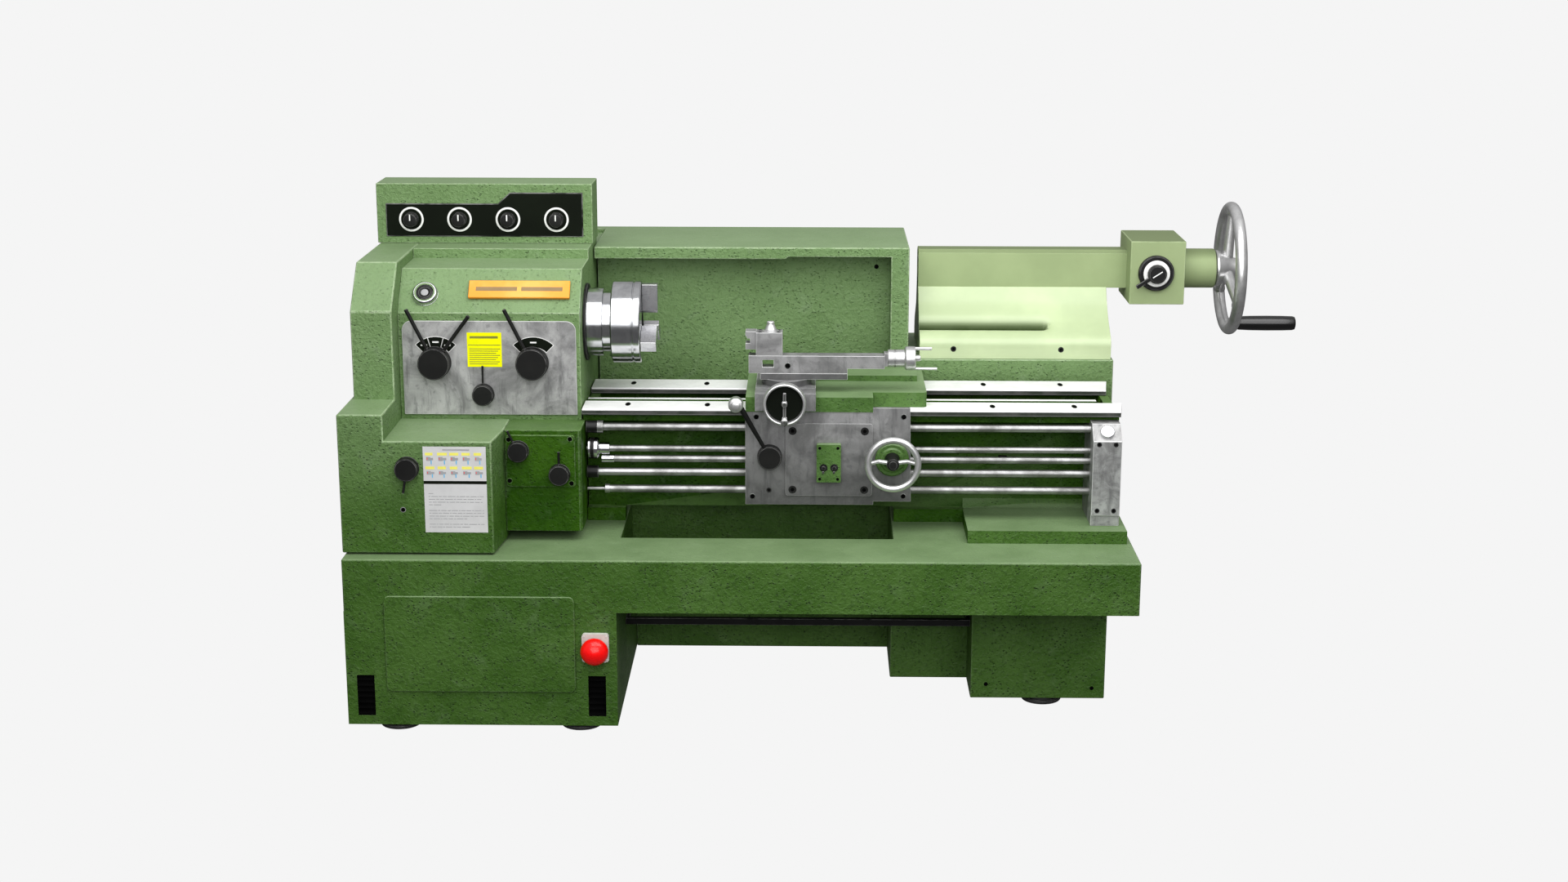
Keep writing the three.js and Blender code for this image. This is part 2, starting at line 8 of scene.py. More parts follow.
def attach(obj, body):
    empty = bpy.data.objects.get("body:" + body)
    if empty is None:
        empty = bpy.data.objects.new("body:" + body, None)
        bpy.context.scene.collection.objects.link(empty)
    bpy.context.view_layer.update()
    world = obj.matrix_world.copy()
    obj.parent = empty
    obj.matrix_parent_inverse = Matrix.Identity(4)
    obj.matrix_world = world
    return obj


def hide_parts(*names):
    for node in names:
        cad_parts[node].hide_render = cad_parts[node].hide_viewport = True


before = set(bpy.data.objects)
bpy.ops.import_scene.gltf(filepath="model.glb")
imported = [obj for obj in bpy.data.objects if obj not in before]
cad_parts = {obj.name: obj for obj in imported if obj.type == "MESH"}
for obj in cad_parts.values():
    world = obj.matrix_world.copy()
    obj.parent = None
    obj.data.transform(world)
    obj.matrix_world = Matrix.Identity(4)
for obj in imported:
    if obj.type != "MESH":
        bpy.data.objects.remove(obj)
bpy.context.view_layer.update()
print("frame loaded,", len(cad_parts), "nodes")

# Shapes are drawn in millimetres: X from the tray's left end, Y back from the stand's front,
# Z up from the floor. A finished piece is then moved into the frame, in metres.
shop = {"startX": 1392.5, "startY": 542.0, "scale": 0.001}
toFrame = Matrix.Scale(shop["scale"], 4) @ Matrix.Translation((-shop["startX"], -shop["startY"], 0))


# Shader sheets


def shade(red, green, blue):
    # screen values from 0 to 255 to the linear colour that a socket takes
    parts = [part / 255 for part in (red, green, blue)]
    return (*[p / 12.92 if p < 0.04045 else ((p + 0.055) / 1.055) ** 2.4 for p in parts], 1.0)


class Wire:
    # one output of a node, so that shader maths reads as plain sums

    def __init__(self, sheet, socket):
        self.sheet = sheet
        self.socket = socket

    def figure(self, operation, first, second):
        return self.sheet.node("ShaderNodeMath", {"operation": operation}, {0: first, 1: second})

    def __add__(self, other):
        return self.figure("ADD", self, other)

    def __radd__(self, other):
        return self.figure("ADD", other, self)

    def __sub__(self, other):
        return self.figure("SUBTRACT", self, other)

    def __rsub__(self, other):
        return self.figure("SUBTRACT", other, self)

    def __mul__(self, other):
        return self.figure("MULTIPLY", self, other)

    def __rmul__(self, other):
        return self.figure("MULTIPLY", other, self)


class Sheet:
    # a node tree with short ways to add to it

    def __init__(self, tree):
        self.tree = tree

    def node(self, kind, settings=None, inputs=None, output=0):
        made = self.tree.nodes.new(kind)
        for key, value in (settings or {}).items():
            if key == "stops":
                for spot, (position, colour) in zip(self.rampStops(made, len(value)), value):
                    spot.position = position
                    spot.color = colour
            else:
                setattr(made, key, value)
        self.feed(made, inputs or {})
        return Wire(self, made.outputs[output])

    def rampStops(self, made, count):
        stops = made.color_ramp.elements
        while len(stops) < count:
            stops.new(0.5)
        return stops

    def feed(self, made, inputs):
        for key, value in inputs.items():
            if isinstance(value, Wire):
                self.tree.links.new(value.socket, made.inputs[key])
            else:
                made.inputs[key].default_value = value

    def noise(self, place, scale, detail=2.0, roughness=0.5, distortion=0.0):
        inputs = {"Vector": place, "Scale": scale, "Detail": detail, "Roughness": roughness}
        return self.node("ShaderNodeTexNoise", None, {**inputs, "Distortion": distortion})

    def cells(self, place, scale):
        return self.node("ShaderNodeTexVoronoi", {"feature": "F1"}, {"Vector": place, "Scale": scale})

    def height(self, vector):
        # the upward part of a place or a facing
        return self.node("ShaderNodeSeparateXYZ", None, {0: vector}, 2)

    def upward(self):
        return self.height(self.node("ShaderNodeNewGeometry", output="Normal"))

    def ease(self, value, low, high):
        # 0 below low, 1 above high, smooth between
        inputs = {"Value": value, "From Min": low, "From Max": high}
        return self.node("ShaderNodeMapRange", {"interpolation_type": "SMOOTHSTEP"}, inputs)

    def mix(self, share, first, second, way="MIX"):
        settings = {"data_type": "RGBA", "blend_type": way, "clamp_factor": True}
        return self.node("ShaderNodeMix", settings, {0: share, 6: first, 7: second}, 2)

    def stretched(self, place, scale, turn=(0, 0, 0)):
        inputs = {"Vector": place, "Scale": scale, "Rotation": [math.radians(a) for a in turn]}
        return self.node("ShaderNodeMapping", None, inputs)

    def bump(self, height, strength, distance):
        inputs = {"Height": height, "Strength": strength, "Distance": distance}
        return self.node("ShaderNodeBump", None, inputs)


def newFinish(name, fixed):
    # a material, its sheet and its main shader, with what is the same all over set on it
    material = bpy.data.materials.new(name)
    material.use_nodes = True
    sheet = Sheet(material.node_tree)
    shader = material.node_tree.nodes["Principled BSDF"]
    sheet.feed(shader, fixed)
    place = sheet.node("ShaderNodeTexCoord", output="Object")
    edgeWornAndLit = sheet.node("ShaderNodeAttribute", {"attribute_name": "wear"}, output="Fac")
    return material, sheet, shader, place, edgeWornAndLit


# Paint laid thick on rough castings: pebbled on the walls, flatter on top, with dusty patches that grow
# higher up; painted light makes it paler higher up and on upward faces, painted shade darkens the pits.
castEnamel = {
    "deep": shade(52, 87, 20),
    "fresh": shade(66, 100, 36),
    # paler tone for the upper parts: painted light
    "paintedLightTone": shade(108, 136, 88),
    "paintedLightFrom": (0.55, 1.02),
    "dusty": shade(128, 148, 116),
    # darker flecks, and painted shade in the pits
    "fleckAndPitShade": shade(30, 54, 12),
    # upward faces: a paler, greyer painted sheen
    "top": shade(130, 152, 114),
    "shine": 0.28,
    # rounded edges: chipped paint and painted highlight
    "edge": shade(168, 186, 152),
    "cloud": 6.0,
    "patch": 17.0,
    "pebble": 95.0,
    "grit": 330.0,
    "pitCells": 85.0,
    "bump": 0.8,
    "lift": 0.006,
    "flatten": 0.72,
}


def pebbledEnamel(name, look):
    material, sheet, shader, place, edgeWornAndLit = newFinish(name, {"Specular IOR Level": look["shine"]})
    raised = sheet.ease(sheet.height(place), *look["paintedLightFrom"])
    top = sheet.ease(sheet.upward(), 0.35, 0.95)
    cloud = sheet.noise(place, look["cloud"], 4, 0.6)
    patch = sheet.noise(place, look["patch"], 5, 0.65, 0.6)
    pebble = sheet.noise(place, look["pebble"], 3, 0.55, 0.5)
    grit = sheet.noise(place, look["grit"], 2, 0.6)
    hollow = sheet.cells(sheet.stretched(place, (1, 1, 1.5)), look["pitCells"])
    pits = (1 - sheet.ease(hollow, 0.12, 0.3)) * sheet.ease(patch, 0.42, 0.58)
    colour = sheet.mix(sheet.ease(cloud, 0.34, 0.66), look["deep"], look["fresh"])
    # paler higher up: painted light
    colour = sheet.mix(raised * (0.62 + cloud * 0.5), colour, look["paintedLightTone"])
    colour = sheet.mix(sheet.ease(patch, 0.52, 0.78) * (0.16 + raised * 0.2), colour, look["dusty"])
    # random darker flecks on the pebbles
    colour = sheet.mix(sheet.ease(pebble, 0.52, 0.68) * (0.4 - raised * 0.16), colour, look["fleckAndPitShade"])
    # painted shade in the pits, less on upward faces and higher up
    colour = sheet.mix(pits * (1 - top) * (0.9 - raised * 0.4), colour, look["fleckAndPitShade"])
    # upward faces paler and greyer: painted sheen
    colour = sheet.mix(top * (0.35 + cloud * 0.5), colour, look["top"])
    # rounded edges paler in chipped patches, more so higher up: partly worn paint, partly painted highlight
    edgeChipAndHighlight = edgeWornAndLit * sheet.ease(pebble + patch, 0.72, 1.12)
    colour = sheet.mix(edgeChipAndHighlight * (0.12 + raised * 0.38), colour, look["edge"])
    height = pebble * 0.8 + grit * 0.12 - pits * 0.6 + patch * 0.35
    calm = 1 - top * look["flatten"]
    rough = 0.36 + grit * 0.22 + sheet.ease(patch, 0.4, 0.8) * 0.14
    normal = sheet.bump(height * calm, look["bump"], look["lift"])
    sheet.feed(shader, {"Base Color": colour, "Roughness": rough, "Normal": normal})
    return material


# Milled plates that coolant has stained: clouds, diagonal runs and darker blotches.
stainedPlate = {
    "pale": shade(182, 182, 181),
    "middle": shade(128, 128, 128),
    "blotch": shade(88, 88, 89),
    "edge": shade(214, 214, 214),
    "grime": shade(46, 46, 46),
    "cloud": 8.0,
    "run": 10.0,
    "runTurn": (0, 28, 0),
    "grain": 420.0,
    "bump": 0.18,
    "metallic": 0.4,
    "rough": 0.34,
}


def stainedSteel(name, look):
    material, sheet, shader, place, edgeWornAndLit = newFinish(name, {"Metallic": look["metallic"]})
    cloud = sheet.noise(place, look["cloud"], 6, 0.62, 1.1)
    runs = sheet.noise(sheet.stretched(place, (5, 5, 0.8), look["runTurn"]), look["run"], 4, 0.6)
    grain = sheet.noise(place, look["grain"], 2, 0.6)
    spots = sheet.noise(place, look["cloud"] * 6, 3, 0.55)
    colour = sheet.mix(sheet.ease(cloud, 0.32, 0.66), look["middle"], look["pale"])
    colour = sheet.mix(sheet.ease(runs, 0.5, 0.72) * 0.6, colour, look["blotch"])
    colour = sheet.mix(sheet.ease(spots, 0.56, 0.74) * 0.45, colour, look["blotch"])
    colour = sheet.mix(sheet.ease(grain, 0.3, 0.8) * 0.16, colour, look["blotch"])
    # darker towards the bottom: painted shade
    if "lowShade" in look:
        low, high, share = look["lowShade"]
        lowShadeShare = (1 - sheet.ease(sheet.height(place), low, high)) * share
        colour = sheet.mix(lowShadeShare, colour, look["grime"])
    # paler rims on the rounded edges: partly worn metal, partly painted highlight
    colour = sheet.mix(edgeWornAndLit * 0.85, colour, look["edge"])
    rough = look["rough"] + cloud * 0.22 + grain * 0.08
    normal = sheet.bump(grain * 0.4 + spots * 0.6, look["bump"], 0.0012)
    sheet.feed(shader, {"Base Color": colour, "Roughness": rough, "Normal": normal})
    return material


# Turned, ground and brushed metal, with tool marks along one direction.
def brushedMetal(name, look):
    material, sheet, shader, place, edgeWornAndLit = newFinish(name, {"Metallic": look["metallic"]})
    lines = sheet.noise(sheet.stretched(place, look["stretch"]), look["line"], 3, 0.7)
    haze = sheet.noise(place, look["haze"], 4, 0.6, 0.4)
    specks = sheet.noise(place, look["speck"], 2, 0.5)
    colour = sheet.mix(sheet.ease(haze, 0.34, 0.7), look["pale"], look["dull"])
    colour = sheet.mix(sheet.ease(specks, 0.6, 0.78) * look["specks"], colour, look["spot"])
    # faces that are not upward take the side colour: painted shade; the metal colour stays on the tops
    if "side" in look:
        dull = sheet.mix(sheet.ease(haze, 0.4, 0.65), look["side"], look["spot"])
        colour = sheet.mix(sheet.ease(sheet.upward(), 0.25, 0.85), dull, colour)
    # rounded edges: partly worn metal, partly painted highlight
    colour = sheet.mix(edgeWornAndLit * 0.5, colour, look["edge"])
    rough = look["rough"] + lines * look["lineRough"] + sheet.ease(haze, 0.45, 0.8) * 0.1
    normal = sheet.bump(lines * 0.7 + specks * 0.3, look["bump"], 0.0006)
    sheet.feed(shader, {"Base Color": colour, "Roughness": rough, "Normal": normal})
    return material


# Paint, moulding, rubber and print: two close tones, a fine grain and rubbed edges; some looks add
# painted shade on upward faces or on faces marked for it.
def plainFinish(name, look):
    fixed = {"Metallic": look.get("metallic", 0.0), "Coat Weight": look.get("coat", 0.0)}
    fixed |= {"Specular IOR Level": look.get("shine", 0.5)}
    material, sheet, shader, place, edgeWornAndLit = newFinish(name, fixed)
    cloud = sheet.noise(place, look["cloud"], 4, 0.6)
    grain = sheet.noise(place, look["grain"], 2, 0.6)
    rubbed = sheet.noise(place, look["cloud"] * 4, 3, 0.6)
    colour = sheet.mix(sheet.ease(cloud, 0.35, 0.7), look["tone"], look["second"])
    # where the look gives it, upward faces take another tone: painted shade
    if "above" in look:
        colour = sheet.mix(sheet.ease(sheet.upward(), 0.5, 0.95), colour, look["above"])
    # where the look gives it, faces marked for painted shade take a darker colour
    if "grime" in look:
        paintedShadeShare = sheet.node("ShaderNodeAttribute", {"attribute_name": "grime"}, output="Fac")
        colour = sheet.mix(paintedShadeShare * (0.86 + rubbed * 0.2), colour, look["grime"])
    colour = sheet.mix(edgeWornAndLit * sheet.ease(rubbed, 0.3, 0.6) * look["rub"], colour, look["edge"])
    rough = look["rough"] + grain * look["grainRough"] + cloud * 0.06
    normal = sheet.bump(grain * 0.7 + rubbed * 0.3, look["bump"], look["lift"])
    sheet.feed(shader, {"Base Color": colour, "Roughness": rough, "Normal": normal})
    return material


def brushed(pale, dull, rough, stretch, **more):
    look = {"pale": pale, "dull": dull, "rough": rough, "stretch": stretch, "line": 260.0}
    look |= {"metallic": 1.0, "haze": 14.0, "speck": 700.0, "specks": 0.5, "spot": shade(70, 70, 68)}
    return look | {"edge": shade(235, 235, 235), "lineRough": 0.12, "bump": 0.12} | more


def plain(name, tone, second, rough, grain, bump, **more):
    look = {"tone": shade(*tone), "second": shade(*second), "rough": rough, "grain": grain, "bump": bump}
    look |= {"cloud": 12.0, "grainRough": 0.1, "lift": 0.0008, "rub": 0.5}
    return plainFinish(name, look | {"edge": shade(150, 150, 148)} | more)


castGreen = pebbledEnamel("castGreen", castEnamel)
saddleGreen = pebbledEnamel(
    "saddleGreen", castEnamel | {
        "deep": shade(56, 90, 30), "fresh": shade(76, 110, 50), "paintedLightFrom": (0.85, 1.3), "bump": 0.5,
    }
)
# a darker copy of the cast green: painted shade for the bed and the feed gearbox
paintedShadeGreen = pebbledEnamel(
    "paintedShadeGreen", castEnamel | {
        "deep": shade(32, 66, 2), "fresh": shade(48, 84, 10), "paintedLightFrom": (0.8, 1.5),
        "top": shade(96, 124, 74), "shine": 0.1,
    }
)
# the pale tailstock paint; its painted shade colour darkens the groove
paleEnamel = plain(
    "paleEnamel", (172, 188, 146), (184, 200, 156), 0.34, 900.0, 0.12,
    cloud=5.0, edge=shade(206, 220, 178), coat=0.15, grime=shade(40, 62, 10),
)
# a darker copy of the pale paint for the barrel and clamp; upward faces take a darker tone as painted shade
barrelEnamel = plain(
    "barrelEnamel", (142, 158, 114), (150, 166, 121), 0.5, 900.0, 0.12,
    cloud=5.0, edge=shade(176, 192, 150), shine=0.25, above=shade(112, 126, 88),
)
plateSteel = stainedSteel("plateSteel", stainedPlate)
# the apron steel, darker towards its bottom with painted shade
apronSteel = stainedSteel(
    "apronSteel",
    stainedPlate | {"pale": shade(152, 152, 152), "middle": shade(110, 110, 110), "runTurn": (0, 8, 0),
                    "lowShade": (0.58, 0.85, 0.65)},
)
bracketSteel = stainedSteel(
    "bracketSteel",
    stainedPlate | {"pale": shade(174, 176, 174), "middle": shade(120, 120, 120), "cloud": 15.0},
)
swivelSteel = stainedSteel(
    "swivelSteel", stainedPlate | {"pale": shade(104, 104, 104), "middle": shade(78, 78, 78)}
)
# the ways: near-white on upward faces as painted reflection, dark grey elsewhere as painted shade
wayBright = brushedMetal(
    "wayBright",
    brushed(
        shade(252, 252, 252), shade(236, 236, 236), 0.3, (1, 30, 30),
        metallic=0.1, side=shade(44, 50, 42), specks=0.2, edge=shade(190, 190, 190),
    ),
)
rodBright = brushedMetal(
    "rodBright",
    brushed(
        shade(172, 172, 172), shade(118, 118, 116), 0.3, (34, 1, 1),
        line=120.0, bump=0.2, metallic=0.85, specks=0.9,
    ),
)
wheelBright = brushedMetal(
    "wheelBright",
    brushed(shade(224, 224, 224), shade(190, 190, 190), 0.26, (6, 6, 6), speck=420.0, metallic=0.85),
)
chuckChrome = brushedMetal(
    "chuckChrome",
    brushed(shade(204, 205, 207), shade(176, 177, 180), 0.1, (30, 1, 1), specks=0.15, lineRough=0.07),
)
jawSteel = brushedMetal(
    "jawSteel", brushed(shade(196, 196, 198), shade(160, 160, 164), 0.2, (1, 1, 14), specks=0.3)
)
blackIron = plain("blackIron", (14, 14, 14), (22, 22, 21), 0.45, 1400.0, 0.22, shine=0.2)
blackMould = plain("blackMould", (13, 13, 13), (20, 20, 20), 0.34, 1100.0, 0.1, shine=0.25)
glossGrip = plain("glossGrip", (10, 10, 10), (16, 16, 16), 0.16, 600.0, 0.05, coat=0.3)
panelBlack = plain("panelBlack", (4, 9, 2), (10, 17, 6), 0.55, 1500.0, 0.15, cloud=4.0, shine=0.1)
holeShadeBlack = plain("holeShadeBlack", (3, 3, 3), (6, 6, 6), 0.9, 900.0, 0.1, rub=0.0, shine=0.05)
footRubber = plain("footRubber", (22, 22, 22), (34, 34, 34), 0.62, 700.0, 0.3, rub=0.3)
redMould = plain(
    "redMould", (255, 8, 8), (240, 4, 4), 0.2, 500.0, 0.06,
    coat=0.25, edge=shade(250, 70, 60), shine=0.3,
)
orangeEnamel = plain(
    "orangeEnamel", (232, 150, 48), (236, 172, 84), 0.4, 900.0, 0.12,
    cloud=6.0, edge=shade(232, 140, 12), rub=0.9, shine=0.3,
)
switchGrey = plain("switchGrey", (206, 204, 198), (190, 188, 182), 0.4, 800.0, 0.1, cloud=30.0)
paperWhite = plain("paperWhite", (204, 204, 204), (194, 194, 194), 0.6, 1600.0, 0.08, rub=0.0, shine=0.2)
whitePrint = plain("whitePrint", (236, 236, 234), (222, 222, 220), 0.4, 1200.0, 0.06, rub=0.0)
greyPrint = plain("greyPrint", (150, 150, 152), (164, 164, 166), 0.55, 1500.0, 0.06, rub=0.0)
yellowPrint = plain("yellowPrint", (240, 240, 0), (232, 234, 0), 0.5, 1400.0, 0.08, rub=0.0, shine=0.1)
umberPrint = plain("umberPrint", (128, 104, 66), (142, 116, 74), 0.5, 1400.0, 0.08, rub=0.0)
olivePrint = plain("olivePrint", (120, 122, 30), (140, 140, 40), 0.5, 1400.0, 0.08, rub=0.0)
labelPrint = plain("labelPrint", (236, 230, 112), (228, 222, 96), 0.5, 1400.0, 0.08, rub=0.0, shine=0.1)
bluePrint = plain("bluePrint", (86, 170, 214), (110, 184, 220), 0.5, 1400.0, 0.08, rub=0.0)
print("finishes ready")


# Shapes. Each one is a bmesh of its own, drawn in millimetres.

# which way a turned shape's own axis points
turns = {
    "x": Matrix.Rotation(math.pi / 2, 4, "Y"),
    "y": Matrix.Rotation(-math.pi / 2, 4, "X"),
    "z": Matrix.Identity(4),
    "front": Matrix.Rotation(math.pi / 2, 4, "X"),
}
# how an outline lies: seen from the front, from the end or from above
lays = {
    "front": Matrix(((1, 0, 0, 0), (0, 0, 1, 0), (0, 1, 0, 0), (0, 0, 0, 1))),
    "end": Matrix(((0, 0, 1, 0), (1, 0, 0, 0), (0, 1, 0, 0), (0, 0, 0, 1))),
    "above": Matrix.Identity(4),
}


def soften(bm, width, steps=2, least=26, seam=None):
    # rounds the outer edges and marks the new faces, which the finishes paint as worn edges and as a
    # painted highlight; edges that lie at the height of a seam between two castings stay as they are
    wear = bm.faces.layers.float.get("wear") or bm.faces.layers.float.new("wear")
    if not width:
        return
    limit = math.radians(least)
    edges = [e for e in bm.edges if e.is_manifold and e.calc_face_angle_signed(0) > limit]
    if seam:
        edges = [e for e in edges if any(abs(v.co.z - seam) > 3 for v in e.verts)]
    made = bmesh.ops.bevel(
        bm, geom=edges, offset=width, offset_type="OFFSET", segments=steps, profile=0.5,
        affect="EDGES", material=-1, clamp_overlap=True,
    )
    for face in made["faces"]:
        face[wear] = 1.0


def settle(bm, place, soft, steps=2, paint=0):
    bmesh.ops.transform(bm, matrix=place, verts=bm.verts)
    bmesh.ops.remove_doubles(bm, verts=bm.verts, dist=0.001)
    bmesh.ops.recalc_face_normals(bm, faces=bm.faces)
    soften(bm, soft, steps)
    for face in bm.faces:
        face.material_index = paint
    return bm


def turned(profile, centre, axis="y", steps=72, soft=0.0, closed=False, paint=0):
    # a profile of radius and distance along the axis, spun right round
    bm = bmesh.new()
    dots = [bm.verts.new((radius, 0, along)) for radius, along in profile]
    pairs = [*zip(dots, dots[1:])] + ([(dots[-1], dots[0])] if closed else [])
    lines = [bm.edges.new(pair) for pair in pairs]
    bmesh.ops.spin(
        bm, geom=dots + lines, cent=(0, 0, 0), axis=(0, 0, 1), dvec=(0, 0, 0),
        angle=math.tau, steps=steps, use_merge=True,
    )
    turn = turns[axis] if isinstance(axis, str) else axis
    return settle(bm, Matrix.Translation(centre) @ turn, soft, 2, paint)


def hoop(radius, tube, centre, axis, steps=112, tubeSteps=24, paint=0):
    # a round ring of round section
    corners = [math.tau * i / tubeSteps for i in range(tubeSteps)]
    profile = [(radius + tube * math.cos(a), tube * math.sin(a)) for a in corners]
    return turned(profile, centre, axis, steps, 0, True, paint)


def slab(outline, low, high, lay="front", soft=0.8, steps=2, paint=0):
    # an outline raised into a block
    bm = bmesh.new()
    bm.faces.new([bm.verts.new((u, v, low)) for u, v in outline])
    made = bmesh.ops.extrude_face_region(bm, geom=bm.faces[:])["geom"]
    lifted = [part for part in made if isinstance(part, bmesh.types.BMVert)]
    bmesh.ops.translate(bm, vec=(0, 0, high - low), verts=lifted)
    return settle(bm, lays[lay], soft, steps, paint)


def brick(x0, x1, y0, y1, z0, z1, soft=0.6, paint=0):
    bm = bmesh.new()
    middle = Vector((x0 + x1, y0 + y1, z0 + z1)) / 2
    size = Matrix.Diagonal((x1 - x0, y1 - y0, z1 - z0, 1))
    bmesh.ops.create_cube(bm, size=1)
    return settle(bm, Matrix.Translation(middle) @ size, soft, 2, paint)


def rod(start, end, radius, endRadius=None, steps=32, soft=0.8, paint=0):
    bm = bmesh.new()
    start, end = Vector(start), Vector(end)
    lean = (end - start).to_track_quat("Z", "Y").to_matrix().to_4x4()
    bmesh.ops.create_cone(
        bm, cap_ends=True, segments=steps, radius1=radius, radius2=endRadius or radius,
        depth=(end - start).length,
    )
    return settle(bm, Matrix.Translation((start + end) / 2) @ lean, soft, 2, paint)


def sector(centre, radii, angles, steps=14):
    # outline of a piece of a ring, in X and Z
    spots = [angles[0] + (angles[1] - angles[0]) * i / steps for i in range(steps + 1)]
    rays = [(math.cos(math.radians(a)), math.sin(math.radians(a))) for a in spots]
    outer = [(centre[0] + radii[1] * c, centre[1] + radii[1] * s) for c, s in rays]
    inner = [(centre[0] + radii[0] * c, centre[1] + radii[0] * s) for c, s in reversed(rays)]
    return outer + inner


def softCopy(node, soft, steps=2, paints=(), least=26, seam=None):
    # the CAD node's own shape with its loose triangles merged and its edges rounded;
    # paints are (finish number, box) for the faces that take another finish
    bm = bmesh.new()
    bm.from_mesh(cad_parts[node].data)
    bmesh.ops.transform(bm, matrix=toFrame.inverted(), verts=bm.verts)
    bmesh.ops.remove_doubles(bm, verts=bm.verts, dist=0.02)
    bmesh.ops.recalc_face_normals(bm, faces=bm.faces)
    bmesh.ops.dissolve_limit(
        bm, angle_limit=math.radians(0.8), verts=bm.verts, edges=bm.edges, use_dissolve_boundaries=False
    )
    soften(bm, soft, steps, least, seam)
    for face in bm.faces:
        face.material_index = 0
        middle = face.calc_center_median()
        for finish, (x0, x1, y0, y1, z0, z1) in paints:
            if x0 < middle.x < x1 and y0 < middle.y < y1 and z0 < middle.z < z1:
                face.material_index = finish
    return bm


def piece(name, body, finishes, shapes, instead=(), sharp=30):
    # joins the shapes into one object that moves with its body
    whole = bmesh.new()
    whole.faces.layers.float.new("wear")
    whole.verts.layers.float.new("grime")
    for shape in shapes:
        spare = bpy.data.meshes.new("spare")
        shape.to_mesh(spare)
        shape.free()
        whole.from_mesh(spare)
        bpy.data.meshes.remove(spare)
    bmesh.ops.transform(whole, matrix=toFrame, verts=whole.verts)
    for face in whole.faces:
        face.smooth = True
    mesh = bpy.data.meshes.new(name)
    whole.to_mesh(mesh)
    whole.free()
    for finish in finishes:
        mesh.materials.append(finish)
    mesh.set_sharp_from_angle(angle=math.radians(sharp))
    obj = bpy.data.objects.new(name, mesh)
    bpy.context.scene.collection.objects.link(obj)
    even = obj.modifiers.new("evenShading", "WEIGHTED_NORMAL")
    even.keep_sharp = True
    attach(obj, body)
    if instead:
        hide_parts(*instead)
    return obj


def casting(name, node, finish, soft, steps=2, body="frame"):
    # one CAD node with softened edges and a single finish
    return piece(name, body, [finish], [softCopy(node, soft, steps)], [node])


def socketScrew(centre, radius, axis="front"):
    # a cap screw standing a little proud: rim, sunk face and six-sided socket; the socket takes the
    # second finish, black, as painted shade for its depth
    rim = [(radius * 0.72, -0.6), (radius, -0.6), (radius, 0.7), (radius * 0.9, 1.1), (radius * 0.72, 1.1)]
    face = [(0, -0.6), (radius * 0.8, -0.6), (radius * 0.8, 0.4), (0, 0.4)]
    socket = [(0, -0.5), (radius * 0.5, -0.5), (radius * 0.5, 0.7), (0, 0.7)]
    return [
        turned(rim, centre, axis, 36, 0.12, True, 0),
        turned(face, centre, axis, 36, 0, False, 0),
        turned(socket, centre, axis, 6, 0.1, False, 1),
    ]


def openHole(centre, radius, axis="front"):
    # a drilled hole: bright chamfer round a black mouth, a dark disc that is painted shade for the hole's
    # depth
    rim = [(radius * 0.86, -0.4), (radius * 1.12, -0.4), (radius * 1.08, 0.35), (radius * 0.86, 0.5)]
    mouth = [(0, -0.4), (radius * 0.9, -0.4), (radius * 0.88, 0.4), (0, 0.3)]
    return [
        turned(rim, centre, axis, 36, 0.1, True, 0),
        turned(mouth, centre, axis, 36, 0, False, 1),
    ]


# Stand

stand = {
    "trayEdge": 5.0,
    "boxEdge": 3.5,
    "coverEdge": 3.0,
    "ventBoxes": [(28, 79, 0.5, 12, 46, 167), (674, 725, 0.5, 12, 46, 169)],
    "stopPlate": (658, 737, -15, 0.4, 210, 296),
    "slats": 7,
    "feet": [(136, 68), (648, 70), (1968, 297), (400, 1040), (1968, 1040)],
    "legScrews": [(1802, 239, 63), (2108, 239, 52)],
}
piece(
    "trayPan", "frame", [castGreen], [softCopy("tray", stand["trayEdge"], 3, seam=352)],
    ["tray"],
)
# the vent recesses are black: painted shade inside the vents
paints = [(1, box) for box in stand["ventBoxes"]] + [(2, stand["stopPlate"])]
cabinetFinishes = [castGreen, holeShadeBlack, switchGrey]
cabinetShape = softCopy("cabinet", stand["boxEdge"], 2, paints, seam=352)
piece("cabinetBox", "frame", cabinetFinishes, [cabinetShape], ["cabinet"])
casting("cabinetCover", "cabinet_cover", castGreen, stand["coverEdge"], 3)
# the slats are black too, so the vents read as dark: painted shade
slats = []
for x0, x1, _, _, z0, z1 in stand["ventBoxes"]:
    pitch = (z1 - z0 - 4) / stand["slats"]
    for i in range(stand["slats"]):
        low = z0 + 3 + i * pitch
        leaf = [(3, low), (9.5, low + pitch * 0.42), (9.5, low + pitch * 0.52), (3, low + pitch * 0.12)]
        slats.append(slab(leaf, x0 + 2, x1 - 2, "end", 0.3))
piece("ventSlats", "frame", [holeShadeBlack], slats)
legShape = softCopy("right_pedestal", stand["boxEdge"], 2, seam=352)
piece("rightLeg", "frame", [castGreen], [legShape], ["right_pedestal"])
screws = [part for spot in stand["legScrews"] for part in openHole(spot, 7)]
piece("legHoles", "frame", [castGreen, holeShadeBlack], screws)
footProfile = [(0, 0.2), (56, 0.2), (58, 3), (58, 9), (55, 12), (50, 13), (47, 19.6), (0, 19.6)]
for i, (x, y) in enumerate(stand["feet"], 1):
    pad = turned(footProfile, (x, y, 0), "z", 64, 0.6)
    grooves = [hoop(57.6, 0.9, (x, y, z), "z", 64, 8) for z in (4.5, 7.5)]
    piece(f"footPad{i}", "frame", [footRubber], [pad, *grooves], [f"foot_{i}"])
casting("brakeTreadle", "brake_bar", blackIron, 2, 2, "brake_bar")
